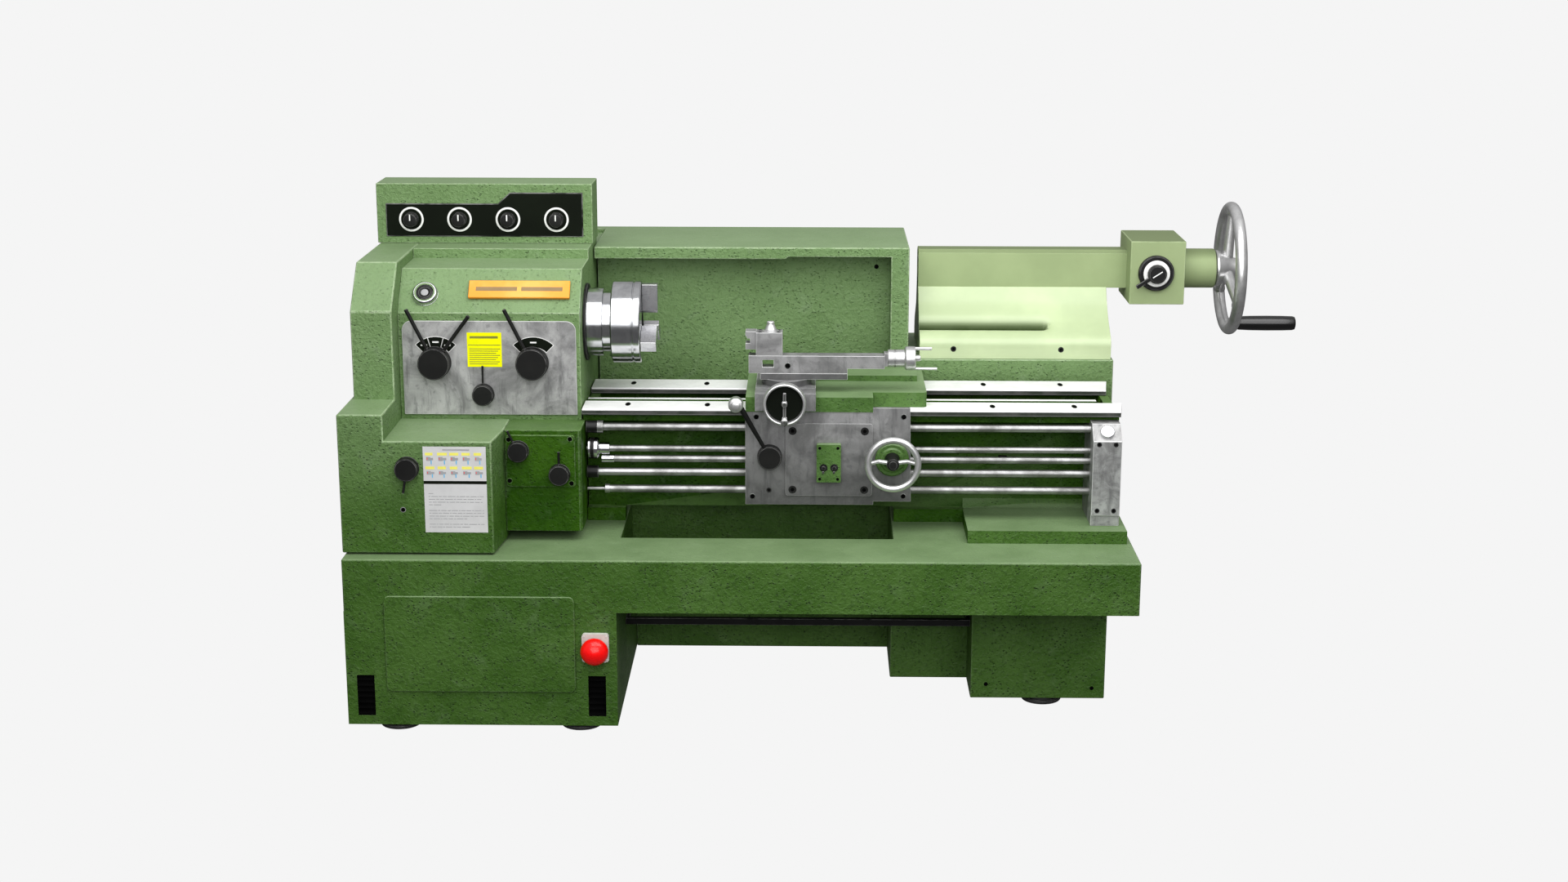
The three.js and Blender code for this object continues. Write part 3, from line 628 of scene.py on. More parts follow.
domeProfile = [
    (0, -66), (10, -65), (20, -61.2), (29, -55), (35.5, -47), (38.6, -38), (38.4, -31), (35.5, -25),
    (31, -22), (30, -21), (16, -21), (15, -20.6), (14.6, -20), (14.6, -8), (0, -8),
]
stopCap = turned(domeProfile, (697, 0, 250), "y", 72, 0.3)
stopLip = hoop(33.5, 1.5, (697, -22.6, 250), "y", 72, 12)
piece("stopDome", "stop_button", [redMould], [stopCap, stopLip], ["stop_button"], 40)
stopCollar = [(17.2, -14.2), (24, -14.2), (24, -15), (22.6, -15.7), (17.2, -15.7)]
piece(
    "stopCollar", "frame", [blackMould, switchGrey],
    [
        turned(stopCollar, (697, 0, 250), "y", 56, 0.4, True),
        *[turned([(0, 0), (3, 0), (2.4, 1.2), (0, 1.2)], (x, -14.2, z), "front", 20, 0.2, False, 1)
          for x in (667, 728) for z in (219, 287)],
    ],
)
print("stand done")

# Bed, ways and rods

bedLook = {
    "edge": 2.0,
    "rail": (630, 2130, 469, 493, 822.5, 860),
    "pad": (1740, 2210, 100, 1000, 495, 572),
    "rearWayScrews": [(761, 641), (980, 638), (1806, 643), (2035, 644)],
    "frontWayScrews": [(767, 359), (995, 356), (1810, 351), (2044, 354)],
    "wayTop": 862.0,
    "rodY": 302.0,
    "rodEnd": 2086.7,
}
# the bed takes the painted-shade green, the rail the way steel, the pad at the right end the plain cast green
bedShape = softCopy("bed", bedLook["edge"], 2, [(1, bedLook["rail"]), (2, bedLook["pad"])])
# a black block in the bed's window: painted shade of the hollow bed behind it
windowPlug = brick(1838.4, 1863.6, 439, 452, 676.4, 695.6, 0.3)
piece("bedWindow", "frame", [holeShadeBlack], [windowPlug])
piece("bedCasting", "frame", [paintedShadeGreen, wayBright, castGreen], [bedShape], ["bed"])
for name, node, spots in (
    ("frontWay", "front_way", bedLook["frontWayScrews"]),
    ("rearWay", "rear_way", bedLook["rearWayScrews"]),
):
    screws = []
    for x, y in spots:
        # slotted counterbores, long across the way
        spot = Vector((x, y, bedLook["wayTop"]))
        longWay = Matrix.Translation(spot) @ Matrix.Diagonal((0.85, 2.4, 0.4, 1)) @ Matrix.Translation(-spot)
        for part in openHole(spot, 8.5, "z"):
            bmesh.ops.transform(part, matrix=longWay, verts=part.verts)
            screws.append(part)
    casting(name, node, wayBright, 0.7)
    piece(name + "Screws", "frame", [blackIron, holeShadeBlack], screws)


def shaft(name, node, z, profile, finishes):
    shapes = [
        turned(part, (0, bedLook["rodY"], z), "x", 56, 0.35, False, i)
        for i, part in enumerate(profile)
    ]
    piece(name, node, finishes, shapes, [node])


rodEnd = bedLook["rodEnd"]
sleeve = [(0, 652.3), (16.6, 652.3), (17.5, 653.5), (17.5, 684), (16.8, 685), (0, 685)]
collar = [(0, 684), (18, 684), (18, 700), (0, 700)]
shaft("leadScrew", "lead_screw", 809, [[(0, 699), (11, 699), (11, rodEnd), (0, rodEnd)], sleeve, collar],
      [rodBright, blackMould, rodBright])
shaft("feedRod", "feed_rod", 677, [[(0, 684), (11, 684), (11, rodEnd), (0, rodEnd)], sleeve],
      [rodBright, blackMould])
flange = [(0, 657), (30, 657), (31, 658), (31, 663), (29.5, 664), (29.5, 674), (31, 675), (31, 684)]
flange += [(27, 689), (17.5, 691), (17, 693), (17, 717), (16, 718), (0, 718)]
shaft(
    "clutchRod", "clutch_rod", 746,
    [[(0, 717), (9, 717), (9, rodEnd), (0, rodEnd)], flange,
     [(0, 664.2), (30.2, 664.2), (30.2, 673.8), (0, 673.8)], [(0, 652.4), (6, 652.4), (6, 658), (0, 658)]],
    [rodBright, chuckChrome, blackMould, rodBright],
)
tripCap = [(0, 693), (9, 693), (11.5, 695), (11.5, 729), (10.5, 731), (0, 731)]
shaft("tripRod", "trip_rod", 716, [[(0, 730), (10, 730), (10, rodEnd), (0, rodEnd)], tripCap],
      [rodBright, chuckChrome])
stepCap = [(0, 702.5), (12, 702.5), (13, 703.5), (13, 714), (12.5, 716), (0, 716)]
shaft("controlRod", "control_rod", 627,
      [[(0, 715), (11, 715), (11, rodEnd), (0, rodEnd)], stepCap,
       [(0, 652.4), (5, 652.4), (5, 704), (0, 704)]], [rodBright, rodBright, rodBright])

bracket = {
    "edge": 1.6,
    "cap": (2128, 261.5, 805),
    "screws": [(2104, 779), (2151, 779), (2104, 586), (2151, 586)],
    # the top chamfer takes the paler plate steel: painted light
    "bright": (2080, 2175, 200, 340, 789, 900),
    "foot": (2080, 2175, 200, 243, 530, 571),
}
paints = [(1, bracket["bright"]), (2, bracket["foot"])]
bracketShape = softCopy("end_bracket", bracket["edge"], 2, paints)
piece(
    "endBracket", "frame", [bracketSteel, plateSteel, castGreen], [bracketShape],
    ["end_bracket"],
)
screws = [part for x, z in bracket["screws"] for part in socketScrew((x, 237, z), 7)]
piece("bracketScrews", "frame", [blackIron, holeShadeBlack], screws)
chamferTurn = Matrix.Rotation(math.radians(45), 4, "X")
oilCap = [(0, -4), (20.5, -4), (20.5, 12), (19.5, 14.5), (17, 15.6), (0, 16)]
piece("oilCap", "frame", [chuckChrome, blackIron],
      [
          turned(oilCap, bracket["cap"], chamferTurn, 56, 0.5),
          hoop(20.6, 0.8, bracket["cap"], chamferTurn, 56, 8, 1),
      ])
print("bed done")

# Rear castings

guard = {"edge": 4.0, "hole": (1488, 820, 1187)}
casting("splashGuard", "splash_guard", castGreen, guard["edge"], 3)
piece("guardHole", "frame", [castGreen, holeShadeBlack], openHole(guard["hole"], 8))
casting("rearPedestal", "rear_pedestal", castGreen, guard["edge"], 3)
print("rear castings done")

# Headstock

head = {
    "edge": 5.0,
    "plateFront": 316.5,
    "coverFront": 46.0,
    "startButton": (196, 322.3 + 92.7 * 46 / 112, 1178),
    "slope": math.atan2(92.7, 112),
    "gearboxScrews": [(446, 799), (618, 801), (446, 680), (620, 673)],
}
casting("headCasting", "headstock", castGreen, head["edge"], 3)
casting("gearCover", "gear_cover", castGreen, 4.5, 3)
# the feed gearbox takes the painted-shade green
casting("feedGearbox", "feed_gearbox", paintedShadeGreen, 3)
casting("headPlate", "head_plate", plateSteel, 1.4)
screws = [part for x, z in head["gearboxScrews"] for part in openHole((x, 182, z), 7.5)]
piece("gearboxHoles", "frame", [castGreen, holeShadeBlack], screws)
piece("coverHole", "frame", [plateSteel, holeShadeBlack], openHole((169, 46, 632), 7))

slopeTurn = Matrix.Rotation(math.pi / 2 - head["slope"], 4, "X")
bezel = [(29, -1), (36.4, -1), (36.4, 6), (35.6, 9.5), (34, 12.4), (31.5, 14.2), (29.4, 14.4), (29, 13)]
bezelInner = [(24.4, -1), (29.2, -1), (29.2, 12.6), (27.5, 13), (24.4, 11)]
piece("startBezel", "frame", [chuckChrome, blackIron],
      [turned(bezel, head["startButton"], slopeTurn, 72, 0.3, True),
       turned(bezelInner, head["startButton"], slopeTurn, 72, 0.2, True, 1),
       hoop(36, 1.6, head["startButton"], slopeTurn, 72, 12)])
buttonRing = [(0, -6), (24, -6), (24, 11), (22.5, 12.6), (17, 13.2), (12, 11.2), (0, 11.2)]
buttonCentre = [(0, 8), (10.5, 8), (10.5, 11.8), (8, 12.8), (0, 13.2)]
piece("startButton", "start_button", [blackMould, greyPrint],
      [turned(buttonRing, head["startButton"], slopeTurn, 64, 0.4),
       turned(buttonCentre, head["startButton"], slopeTurn, 48, 0.3, False, 1)], ["start_button"])
plateShape = softCopy("name_plate", 2.2, 3)
plateBars = [brick(x0, x1, -6.1, -5.2, -6.5, 6.5, 0.3, 1) for x0, x1 in ((-123, -6), (6, 123))]
leanBack = Matrix.Translation((463.5, 362.6, 1191.4)) @ Matrix.Rotation(-head["slope"], 4, "X")
for bar in plateBars:
    bmesh.ops.transform(bar, matrix=leanBack, verts=bar.verts)
piece(
    "namePlate", "frame", [orangeEnamel, umberPrint], [plateShape, *plateBars],
    ["name_plate"],
)

control = {"panel": (20, 620, 696.4, 699.9, 1285, 1430), "dials": [103, 246, 390, 534], "dialZ": 1344}
boxShape = softCopy("control_box", 3.5, 3, [(1, control["panel"])])
piece("controlBox", "frame", [castGreen, panelBlack], [boxShape], ["control_box"])
ring = [(30.5, 0), (36.5, 0), (36.5, 1.6), (35.6, 2.2), (31.4, 2.2), (30.5, 1.6)]
well = [(0, -0.4), (31, -0.4), (31, 1), (29, 1.5), (24, 0.6), (0, 0.6)]
knob = [(0, 0.5), (22, 0.5), (22, 4), (20.5, 6), (20, 24), (18.5, 27.2), (16.5, 28), (0, 28)]
for i, x in enumerate(control["dials"], 1):
    middle = (x, 697, control["dialZ"])
    piece(f"dialRing{i}", "frame", [whitePrint, panelBlack],
          [turned(ring, middle, "front", 72, 0.2, True), turned(well, middle, "front", 64, 0.2, False, 1)])
    ribs = [
        rod((x + 20.6 * math.cos(a), 692, control["dialZ"] + 20.6 * math.sin(a)),
            (x + 19.9 * math.cos(a), 672, control["dialZ"] + 19.9 * math.sin(a)), 1.1, 1.0, 8, 0.2)
        for a in [math.tau * k / 24 for k in range(24)]
    ]
    pointer = brick(x - 1.8, x + 1.8, 667.6, 669.4, control["dialZ"] - 1, control["dialZ"] + 17, 0.3, 1)
    piece(f"dialKnob{i}", f"dial_{i}", [blackMould, whitePrint],
          [turned(knob, middle, "front", 64, 0.4), *ribs, pointer], [f"dial_{i}"])
print("headstock castings done")

# Labels: plain bars and blocks in place of any lettering

label = {"arcRadii": (53, 81), "arcCentres": [(228, 983), (505, 983)], "textRadius": 66}
plateFront = head["plateFront"]
arcs = []
for centre, cuts in zip(label["arcCentres"], ([(46, 73), (75, 105), (107, 134)], [(46, 134)])):
    for low, high in cuts:
        inner, outer = label["arcRadii"]
        edge = sector(centre, (inner - 1.6, outer + 1.6), (low - 1.4, high + 1.4))
        arcs.append(slab(edge, plateFront - 0.35, plateFront + 0.2, "front", 0.1, 1, 0))
        arcs.append(
            slab(
                sector(centre, (inner, outer), (low, high)), plateFront - 0.6, plateFront, "front", 0.1,
                1, 1,
            ),
        )
        middle = math.radians((low + high) / 2)
        x = centre[0] + label["textRadius"] * math.cos(middle)
        z = centre[1] + label["textRadius"] * math.sin(middle)
        arcs.append(brick(x - 9, x + 9, plateFront - 0.8, plateFront - 0.3, z - 2.2, z + 2.2, 0.1, 0))
piece("leverScales", "frame", [whitePrint, panelBlack], arcs)

sticker = [brick(317, 415, plateFront - 0.5, plateFront + 0.2, 978, 1077, 0.15, 0)]
sticker.append(brick(325, 405, plateFront - 0.7, plateFront, 1060, 1067, 0.1, 1))
lines = [(1041, 318, 412)] + [(1030 - 6.2 * i, 321, 411 - (i * 23 % 17)) for i in range(8)]
for z, x0, x1 in lines:
    sticker.append(brick(x0 + 2, x1, plateFront - 0.65, plateFront, z - 1.1, z + 1.1, 0.05, 1))
piece("noticeSticker", "frame", [yellowPrint, olivePrint], sticker)

chart = {
    "sheet": (229, 402),
    "upper": (715, 812),
    "strip": (706, 715),
    "lower": (568, 706),
    "columns": 5,
    "rows": [(795, 783, 762), (756, 743, 724)],
    "lines": [
        (679, 16), (670.7, 152), (662.8, 152), (654.5, 152), (646.9, 34), (630.7, 152),
        (623.2, 152), (614.7, 152), (607, 104), (591.5, 152), (583.6, 116),
    ],
    "words": [13, 5, 18, 8, 11, 22, 6, 15, 9, 17, 4, 12],
}
front = head["coverFront"]
left, right = chart["sheet"]
paper = [
    brick(left, right, front - 0.7, front + 0.3, chart["upper"][0], chart["upper"][1], 0.15, 0),
    brick(left, right, front - 0.8, front + 0.3, chart["strip"][0], chart["strip"][1], 0.15, 1),
    brick(left, right, front - 0.7, front + 0.3, chart["lower"][0], chart["lower"][1], 0.15, 0),
    brick(left + 54, left + 128, front - 0.9, front, 801, 805, 0.1, 2),
]
columnWidth = (right - left - 6) / chart["columns"]
for row, (labelZ, highZ, lowZ) in enumerate(chart["rows"]):
    for column in range(chart["columns"]):
        x = left + 6 + column * columnWidth
        kind = (column * 3 + row * 2) % 4
        middle = (highZ + lowZ) / 2
        paper.append(brick(x, x + 21 + kind * 2, front - 0.9, front, labelZ - 8, labelZ, 0.1, 3))
        paper.append(brick(x + 3, x + 15, front - 0.95, front, middle - 1, highZ, 0.1, 2))
        paper.append(brick(x + 15, x + 22 + kind, front - 1, front, middle + 1, highZ - 2.5, 0.1, 2))
        paper.append(brick(x + 15 + kind, x + 18 + kind, front - 1.05, front, lowZ, middle + 1, 0.1, 4))
        paper.append(brick(x + 5, x + 6.5, front - 1.1, front, middle + 2, highZ - 2, 0.1, 5))
for index, (z, length) in enumerate(chart["lines"]):
    x, word = left + 12, index
    while x < left + 8 + length:
        wide = min(chart["words"][word % len(chart["words"])], left + 12 + length - x)
        paper.append(brick(x, x + wide, front - 0.85, front, z - 1, z + 1, 0.05, 2))
        x, word = x + wide + 2.6, word + 1
piece("operationChart", "frame",
      [paperWhite, panelBlack, greyPrint, labelPrint, bluePrint, redMould], paper)
print("labels done")

# Levers

levers = {
    "gear_lever": {"hub": (225, 991), "radius": 45, "front": 280, "back": 316.2, "rod": 5.5,
                   "tips": [(151, 292, 1147), (328, 292, 1129)]},
    "range_lever": {"hub": (502, 991), "radius": 45, "front": 280, "back": 316.2, "rod": 5.5,
                    "tips": [(427, 292, 1148)]},
    "direction_lever": {"hub": (360, 899), "radius": 30, "front": 290, "back": 316.2, "rod": 2.8,
                        "tips": [(361, 302, 984)]},
    "feed_lever_upper": {"hub": (473, 767), "radius": 29, "front": 158, "back": 181.7, "rod": 3.5,
                         "tips": [(444, 168, 828)]},
    "feed_lever_lower": {"hub": (587, 700), "radius": 29, "front": 158, "back": 181.7, "rod": 3.5,
                         "tips": [(587, 168, 768)]},
    "cover_lever": {"hub": (185, 751), "radius": 32, "front": 18, "back": 45.7, "rod": 3.5,
                    "tips": [(174, 28, 684)]},
}
for node, spec in levers.items():
    (x, z), radius, near, far = spec["hub"], spec["radius"], spec["front"], spec["back"]
    boss = [(0, near), (radius - 2.4, near), (radius, near + 2.6), (radius, far - 5), (radius + 1.2, far - 4)]
    boss += [(radius + 1.2, far), (0, far)]
    shapes = [turned(boss, (x, 0, z), "y", 80, 0.5)]
    for tip in spec["tips"]:
        thick = spec["rod"]
        base = Vector((x, (near + far) / 2, z))
        reach = (Vector(tip) - base).normalized()
        shapes.append(rod(base, tip, thick * 0.92, thick * 1.02, 28, thick * 0.3))
        shapes.append(
            rod(base + reach * (radius - 2), base + reach * (radius + 4), thick * 1.35, thick * 1.1, 28, 0.6),
        )
    piece(node.replace("_", "") + "Handle", node, [blackIron], shapes, [node])
print("levers done")

# Spindle and chuck

spindle = {"centre": (0, 500, 1075), "steps": 128}
drum = [
    (0, 645), (97, 645), (99, 646.5), (99, 690), (97.5, 691), (86.5, 691.4), (86.5, 714.6),
    (112, 715), (116, 716.4), (118.3, 719), (118.5, 722), (118.5, 774.4), (118, 775.6), (116.4, 776.6),
    (116, 778), (116.4, 779.6), (118, 780.4), (118.5, 781.6), (118.5, 796), (117.6, 798.6),
    (115, 800.7), (28, 800.7), (28, 722), (0, 722),
]
backPlate = [(0, 637.4), (110, 637.4), (112, 639), (112, 644), (110.6, 645.4), (0, 645.4)]
chuckShapes = [
    turned(drum, spindle["centre"], "x", spindle["steps"], 0),
    turned(backPlate, spindle["centre"], "x", spindle["steps"], 0.3, False, 1),
    # a black lining in the bore: painted shade inside it
    turned([(28.2, 724), (30.5, 801), (27.6, 801), (27.6, 724)], spindle["centre"], "x", 80, 0, True, 1),
]
for degrees in (90, 210, 330):
    # a jaw's guide slot in the face, a thin black strip: painted shade for the slot's depth
    spin = Matrix.Translation(spindle["centre"]) @ Matrix.Rotation(math.radians(degrees), 4, "X")
    slot = brick(800.4, 801.0, 30, 116, -9, 9, 0.1, 1)
    bmesh.ops.transform(slot, matrix=spin, verts=slot.verts)
    chuckShapes.append(slot)
for degrees in (30, 270):
    # a square key socket between two jaws, black inside: painted shade for its depth
    key = brick(741, 755, 117.4, 119.0, -7, 7, 0.3, 1)
    rimRing = brick(736, 760, 116.9, 118.7, -12, 12, 0.8, 0)
    turnOn = Matrix.Translation(spindle["centre"]) @ Matrix.Rotation(math.radians(degrees), 4, "X")
    bmesh.ops.transform(key, matrix=turnOn, verts=key.verts)
    bmesh.ops.transform(rimRing, matrix=turnOn, verts=rimRing.verts)
    chuckShapes += [key, rimRing]
piece("chuckBody", "chuck", [chuckChrome, blackIron], chuckShapes, ["chuck"], 34)
for i in (1, 2, 3):
    casting(f"chuckJaw{i}", f"jaw_{i}", jawSteel, 1.2, 2, f"jaw_{i}")
print("chuck done")

# Carriage

carriage = {
    "saddleEdge": 3.0,
    "bracket": (1130, 1309, 226, 265, 872, 926),
    "apronEdge": 1.3,
    "switchPlate": (1306, 1379, 238, 261.6, 662, 776),
    "wheelBoss": (1470, 1575, 240, 269.5, 676, 780),
    "bolts": [(1240, 808.5), (1444, 808.5), (1240, 637), (1444, 637)],
    "holes": [(1137, 847), (1554, 848.6), (1126, 614), (1555.5, 616)],
    "stud": (1173, 270, 633),
    "plateHoles": [(1317, 764), (1368, 764), (1317, 674), (1368, 674)],
}
saddleShape = softCopy("saddle", carriage["saddleEdge"], 3, [(1, carriage["bracket"])])
piece("saddleCasting", "carriage", [saddleGreen, apronSteel], [saddleShape], ["saddle"])
paints = [(1, carriage["switchPlate"]), (1, carriage["wheelBoss"])]
apronShape = softCopy("apron", carriage["apronEdge"], 2, paints)
piece("apronPlate", "carriage", [apronSteel, saddleGreen], [apronShape], ["apron"])
bolts = [part for x, z in carriage["bolts"] for part in socketScrew((x, 262, z), 11.5)]
bolts += socketScrew(carriage["stud"], 7.5)
piece("apronBolts", "carriage", [blackIron, holeShadeBlack], bolts)
holes = [part for x, z in carriage["holes"] for part in openHole((x, 270, z), 7.5)]
piece("apronHoles", "carriage", [wayBright, holeShadeBlack], holes)
holes = [part for x, z in carriage["plateHoles"] for part in openHole((x, 240, z), 5)]
piece("switchPlateHoles", "carriage", [saddleGreen, holeShadeBlack], holes)
boss = [(22, 248.6), (22, 245), (24, 243.6), (31, 243.6), (34, 245.6), (36, 248.6)]
piece(
    "wheelBoss", "carriage", [saddleGreen],
    [turned(boss, (1522, 0, 728), "y", 80, 0.3, True)],
)
for side, x in (("Left", 1328), ("Right", 1358)):
    cap = [(0, 232), (5, 232), (6.6, 233), (7.5, 235), (7.5, 245), (0, 245)]
    light = [(0, 238.2), (2.6, 238.2), (2.6, 240.5), (0, 240.5)]
    node = "push_button_" + side.lower()
    piece("pushCap" + side, node, [blackMould, blackMould],
          [turned(cap, (x, 0, 707), "y", 40, 0.3), hoop(7, 0.6, (x, 236, 707), "y", 40, 8, 1)], [node])
    collarRing = [(7.9, 238.6), (11, 238.6), (11, 240.2), (7.9, 240.2)]
    pilot = [(0, 238), (3, 238), (3.4, 239), (3.4, 240.2), (0, 240.2)]
    piece("pushCollar" + side, "carriage", [blackIron, wayBright],
          [
              turned(collarRing, (x, 0, 707), "y", 40, 0.2, True),
              turned(pilot, (x - 1, 0, 693), "y", 24, 0.2, False, 1),
          ])

wheel = {"centre": (1522, 185, 731), "radius": 70, "tube": 9.5}
x, y, z = wheel["centre"]
hubProfile = [
    (0, 176), (11, 176), (13.5, 178), (17, 181), (17.5, 184), (17.5, 214), (19, 218), (20, 247), (0, 247),
]
wheelShapes = [
    hoop(wheel["radius"], wheel["tube"], wheel["centre"], "y"),
    turned(hubProfile, (x, 0, z), "y", 56, 0.4, False, 1),
]
for way in (-1, 1):
    knee = (x + way * 40, y + 14, z + 6)
    wheelShapes.append(rod((x, y + 16, z), knee, 6.5, 6, 24, 0.5))
    wheelShapes.append(rod(knee, (x + way * 69, y, z + 2), 6, 5.5, 24, 0.5))
    wheelShapes.append(
        turned([(0, -6), (3, -5.2), (5.2, -3), (6, 0), (5.2, 3), (3, 5.2), (0, 6)], knee, "y", 24),
    )
piece("apronWheel", "apron_wheel", [wheelBright, blackIron], wheelShapes, ["apron_wheel"], 40)

nutLever = {"knob": (1081, 0, 895)}
leverHub = [(0, 240), (31.6, 240), (34, 242.4), (34, 266), (35, 267), (35, 269.6), (0, 269.6)]
ball = [
    (0, 192), (8, 192), (11.5, 193.4), (12, 198), (17, 199), (20, 201.5), (21, 206), (21, 229), (19, 234),
    (16, 236), (0, 236),
]
piece("halfNutHandle", "half_nut_lever", [blackIron, wheelBright],
      [turned(leverHub, (1175, 0, 733), "y", 80, 0.5), rod(
          (1176, 252, 733), (1092, 222, 889), 4.8, 8.0, 32, 0.8,
      ),
       turned(ball, nutLever["knob"], "y", 64, 0.4, False, 1),
       hoop(12, 1.2, (1081, 198, 895), "y", 56, 10, 1)],
      ["half_nut_lever"])

cross = {"x": 1218, "z": 907}
rim = [(51, 178), (51, 162), (52.5, 159), (55.5, 158), (58.5, 159.5), (59.5, 163), (59.5, 185)]
rim += [(57, 192), (52, 198), (20, 200), (14, 206), (14, 226.6), (0, 226.6), (0, 184)]
disc = [(0, 177.6), (51.2, 177.6), (51.2, 186), (0, 186)]
grip = [(0, 132), (6, 132), (9, 134), (10, 138), (9.2, 144), (7.2, 158), (7.4, 176), (9, 179), (0, 179)]
piece("crossWheel", "cross_wheel", [wheelBright, panelBlack, wayBright],
      [turned(rim, (cross["x"], 0, cross["z"]), "y", 96, 0.3), turned(
          disc, (cross["x"], 0, cross["z"]), "y", 80, 0.2, False, 1,
      ),
       turned(grip, (cross["x"], 0, 862), "y", 40, 0.3, False, 2), brick(
           1213.8, 1222.2, 166, 178, 860, 938, 1.4, 2,
       ),
       turned([(0, 159), (6, 159), (8.4, 161), (8.4, 178), (0, 178)],
              (cross["x"], 0, cross["z"]), "y", 40, 0.4, False, 2)],
      ["cross_wheel"], 34)

casting("crossSlide", "cross_slide", apronSteel, 1.5, 2, "cross_slide")
swivelShapes = [
    softCopy("swivel_base", 1.0, 2),
    turned([(0, 924.5), (71.4, 924.5), (71.4, 942.6), (70, 943.4), (0, 943.4)], (1222, 376, 0), "z", 96, 0.3),
]
piece("swivelBase", "swivel", [swivelSteel], swivelShapes, ["swivel_base"])
casting("compoundSlide", "compound_slide", apronSteel, 1.4, 2, "compound")
piece("compoundHole", "compound", [wayBright, holeShadeBlack], openHole((1225, 330, 982), 8))
dialProfile = [
    (0, 1509.4), (24, 1509.4), (25, 1510.6), (25, 1524), (24.4, 1524.6), (24.4, 1525.6), (25, 1526.2),
    (25, 1556),
]
dialProfile += [
    (28.5, 1556.6), (32.6, 1559.4), (34, 1562), (34, 1584), (33, 1586.4), (30, 1588), (12, 1588.4),
    (9.4, 1589),
]
dialProfile += [(9, 1599), (7.8, 1601.6), (5.6, 1603), (0, 1603)]
shapes = [turned(dialProfile, (0, 353, 1001), "x", 96, 0.2)]
for i in range(60):
    a = math.tau * i / 60
    long = 8 if i % 5 == 0 else 4.6
    tick = brick(1527.5, 1527.5 + long, -0.3, 0.3, 24.6, 25.12, 0, 1)
    bmesh.ops.transform(
        tick, matrix=Matrix.Translation((0, 353, 1001)) @ Matrix.Rotation(a, 4, "X"), verts=tick.verts,
    )
    shapes.append(tick)
shapes += [
    rod((1560, 353, 1029), (1634, 353, 1029), 5, 4.6, 28, 1.0),
    rod((1570, 353, 971), (1650, 353, 971), 4, 3.8, 28, 0.8),
]
piece(
    "compoundWheel", "compound_wheel", [wheelBright, panelBlack], shapes,
    ["compound_wheel"], 34,
)

nut = [
    (0, 1076.4), (21, 1076.4), (21, 1078.4), (17.6, 1081.5), (11.6, 1096), (11, 1099), (11, 1103),
    (8.6, 1105.6), (0, 1105.9),
]
piece("toolPost", "tool_post", [apronSteel, wheelBright],
      [softCopy("tool_post", 1.2, 2), turned(nut, (1176, 357, 0), "z", 64, 0.3, False, 1),
       turned([(0, 1077), (23, 1077), (23, 1079), (22, 1080), (0, 1080)],
              (1176, 357, 0), "z", 64, 0.2, False, 1)],
      ["tool_post"])
screws = [part for x in (1146, 1199) for y in (342, 372) for part in socketScrew((x, y, 1077), 5.5, "z")]
piece("toolPostScrews", "tool_post", [blackIron, holeShadeBlack], screws)
print("carriage done")

# Tailstock

tail = {
    "left": 1619.0,
    "right": 2196.0,
    "frontLine": [
        (735, 950), (736, 970), (748, 986), (776, 1003), (808, 1022), (838, 1046), (862, 1070),
        (880, 1094), (894, 1114),
    ],
    "backLine": [(986, 1114), (1010, 1045), (1085, 985), (1100, 950), (1100, 920.4)],
    "groove": (797, 1017),
    "grooveEnd": 1994.0,
    "grooveDepth": 17.0,
    "grooveWidth": 22.0,
    "coreDepth": 44.0,
    "coreWidth": 9.0,
    "steps": 72,
    "screws": [(1721, 735, 951), (2045, 735, 950)],
}


def smoothLine(dots, parts):
    # a curve through the dots, with that many points between each two
    line = []
    for i in range(len(dots) - 1):
        a, b, c, d = (Vector(dots[max(0, min(len(dots) - 1, i + k))]) for k in (-1, 0, 1, 2))
        for step in range(parts):
            t = step / parts
            line.append(0.5 * (
                2 * b + (c - a) * t
                + (2 * a - 5 * b + 4 * c - d) * t * t
                + (3 * b - a - 3 * c + d) * t ** 3
            ))
    return [tuple(dot) for dot in line] + [dots[-1]]


def tailFoot(look):
    bm = bmesh.new()
    line = [(735, 920.4)] + smoothLine(look["frontLine"], 10) + look["backLine"]
    dots = [bm.verts.new((look["left"], y, z)) for y, z in line]
    lines = [bm.edges.new(pair) for pair in zip(dots, dots[1:] + dots[:1])]
    stride = (look["right"] - look["left"]) / look["steps"]
    bmesh.ops.spin(
        bm, geom=dots + lines, cent=(0, 0, 0), axis=(1, 0, 0), dvec=(stride, 0, 0), angle=0,
        steps=look["steps"],
    )
    # painted shade: the groove's core is marked darker, its lower side most
    grime = bm.verts.layers.float.new("grime")
    middle = Vector((0, *look["groove"]))
    inward = Vector((0, 0.5, -0.866))
    for vert in bm.verts:
        over = max(0.0, vert.co.x - look["grooveEnd"])
        away = Vector((over, vert.co.y - middle.y, vert.co.z - middle.z))
        if vert.co.y < 880 and away.length < look["grooveWidth"] * 3:
            dip = look["grooveDepth"] * math.exp(-((away.length / look["grooveWidth"]) ** 2))
            dip += look["coreDepth"] * math.exp(-((away.length / look["coreWidth"]) ** 2))
            lower = away.length if away.z < 0 else away.length * 0.6
            vert[grime] = min(1.0, 1.5 * math.exp(-((lower / look["coreWidth"]) ** 2)))
            vert.co += inward * dip
    open_ = [e for e in bm.edges if e.is_boundary]
    bmesh.ops.holes_fill(bm, edges=open_, sides=0)
    return settle(bm, Matrix.Identity(4), 2.5, 3)


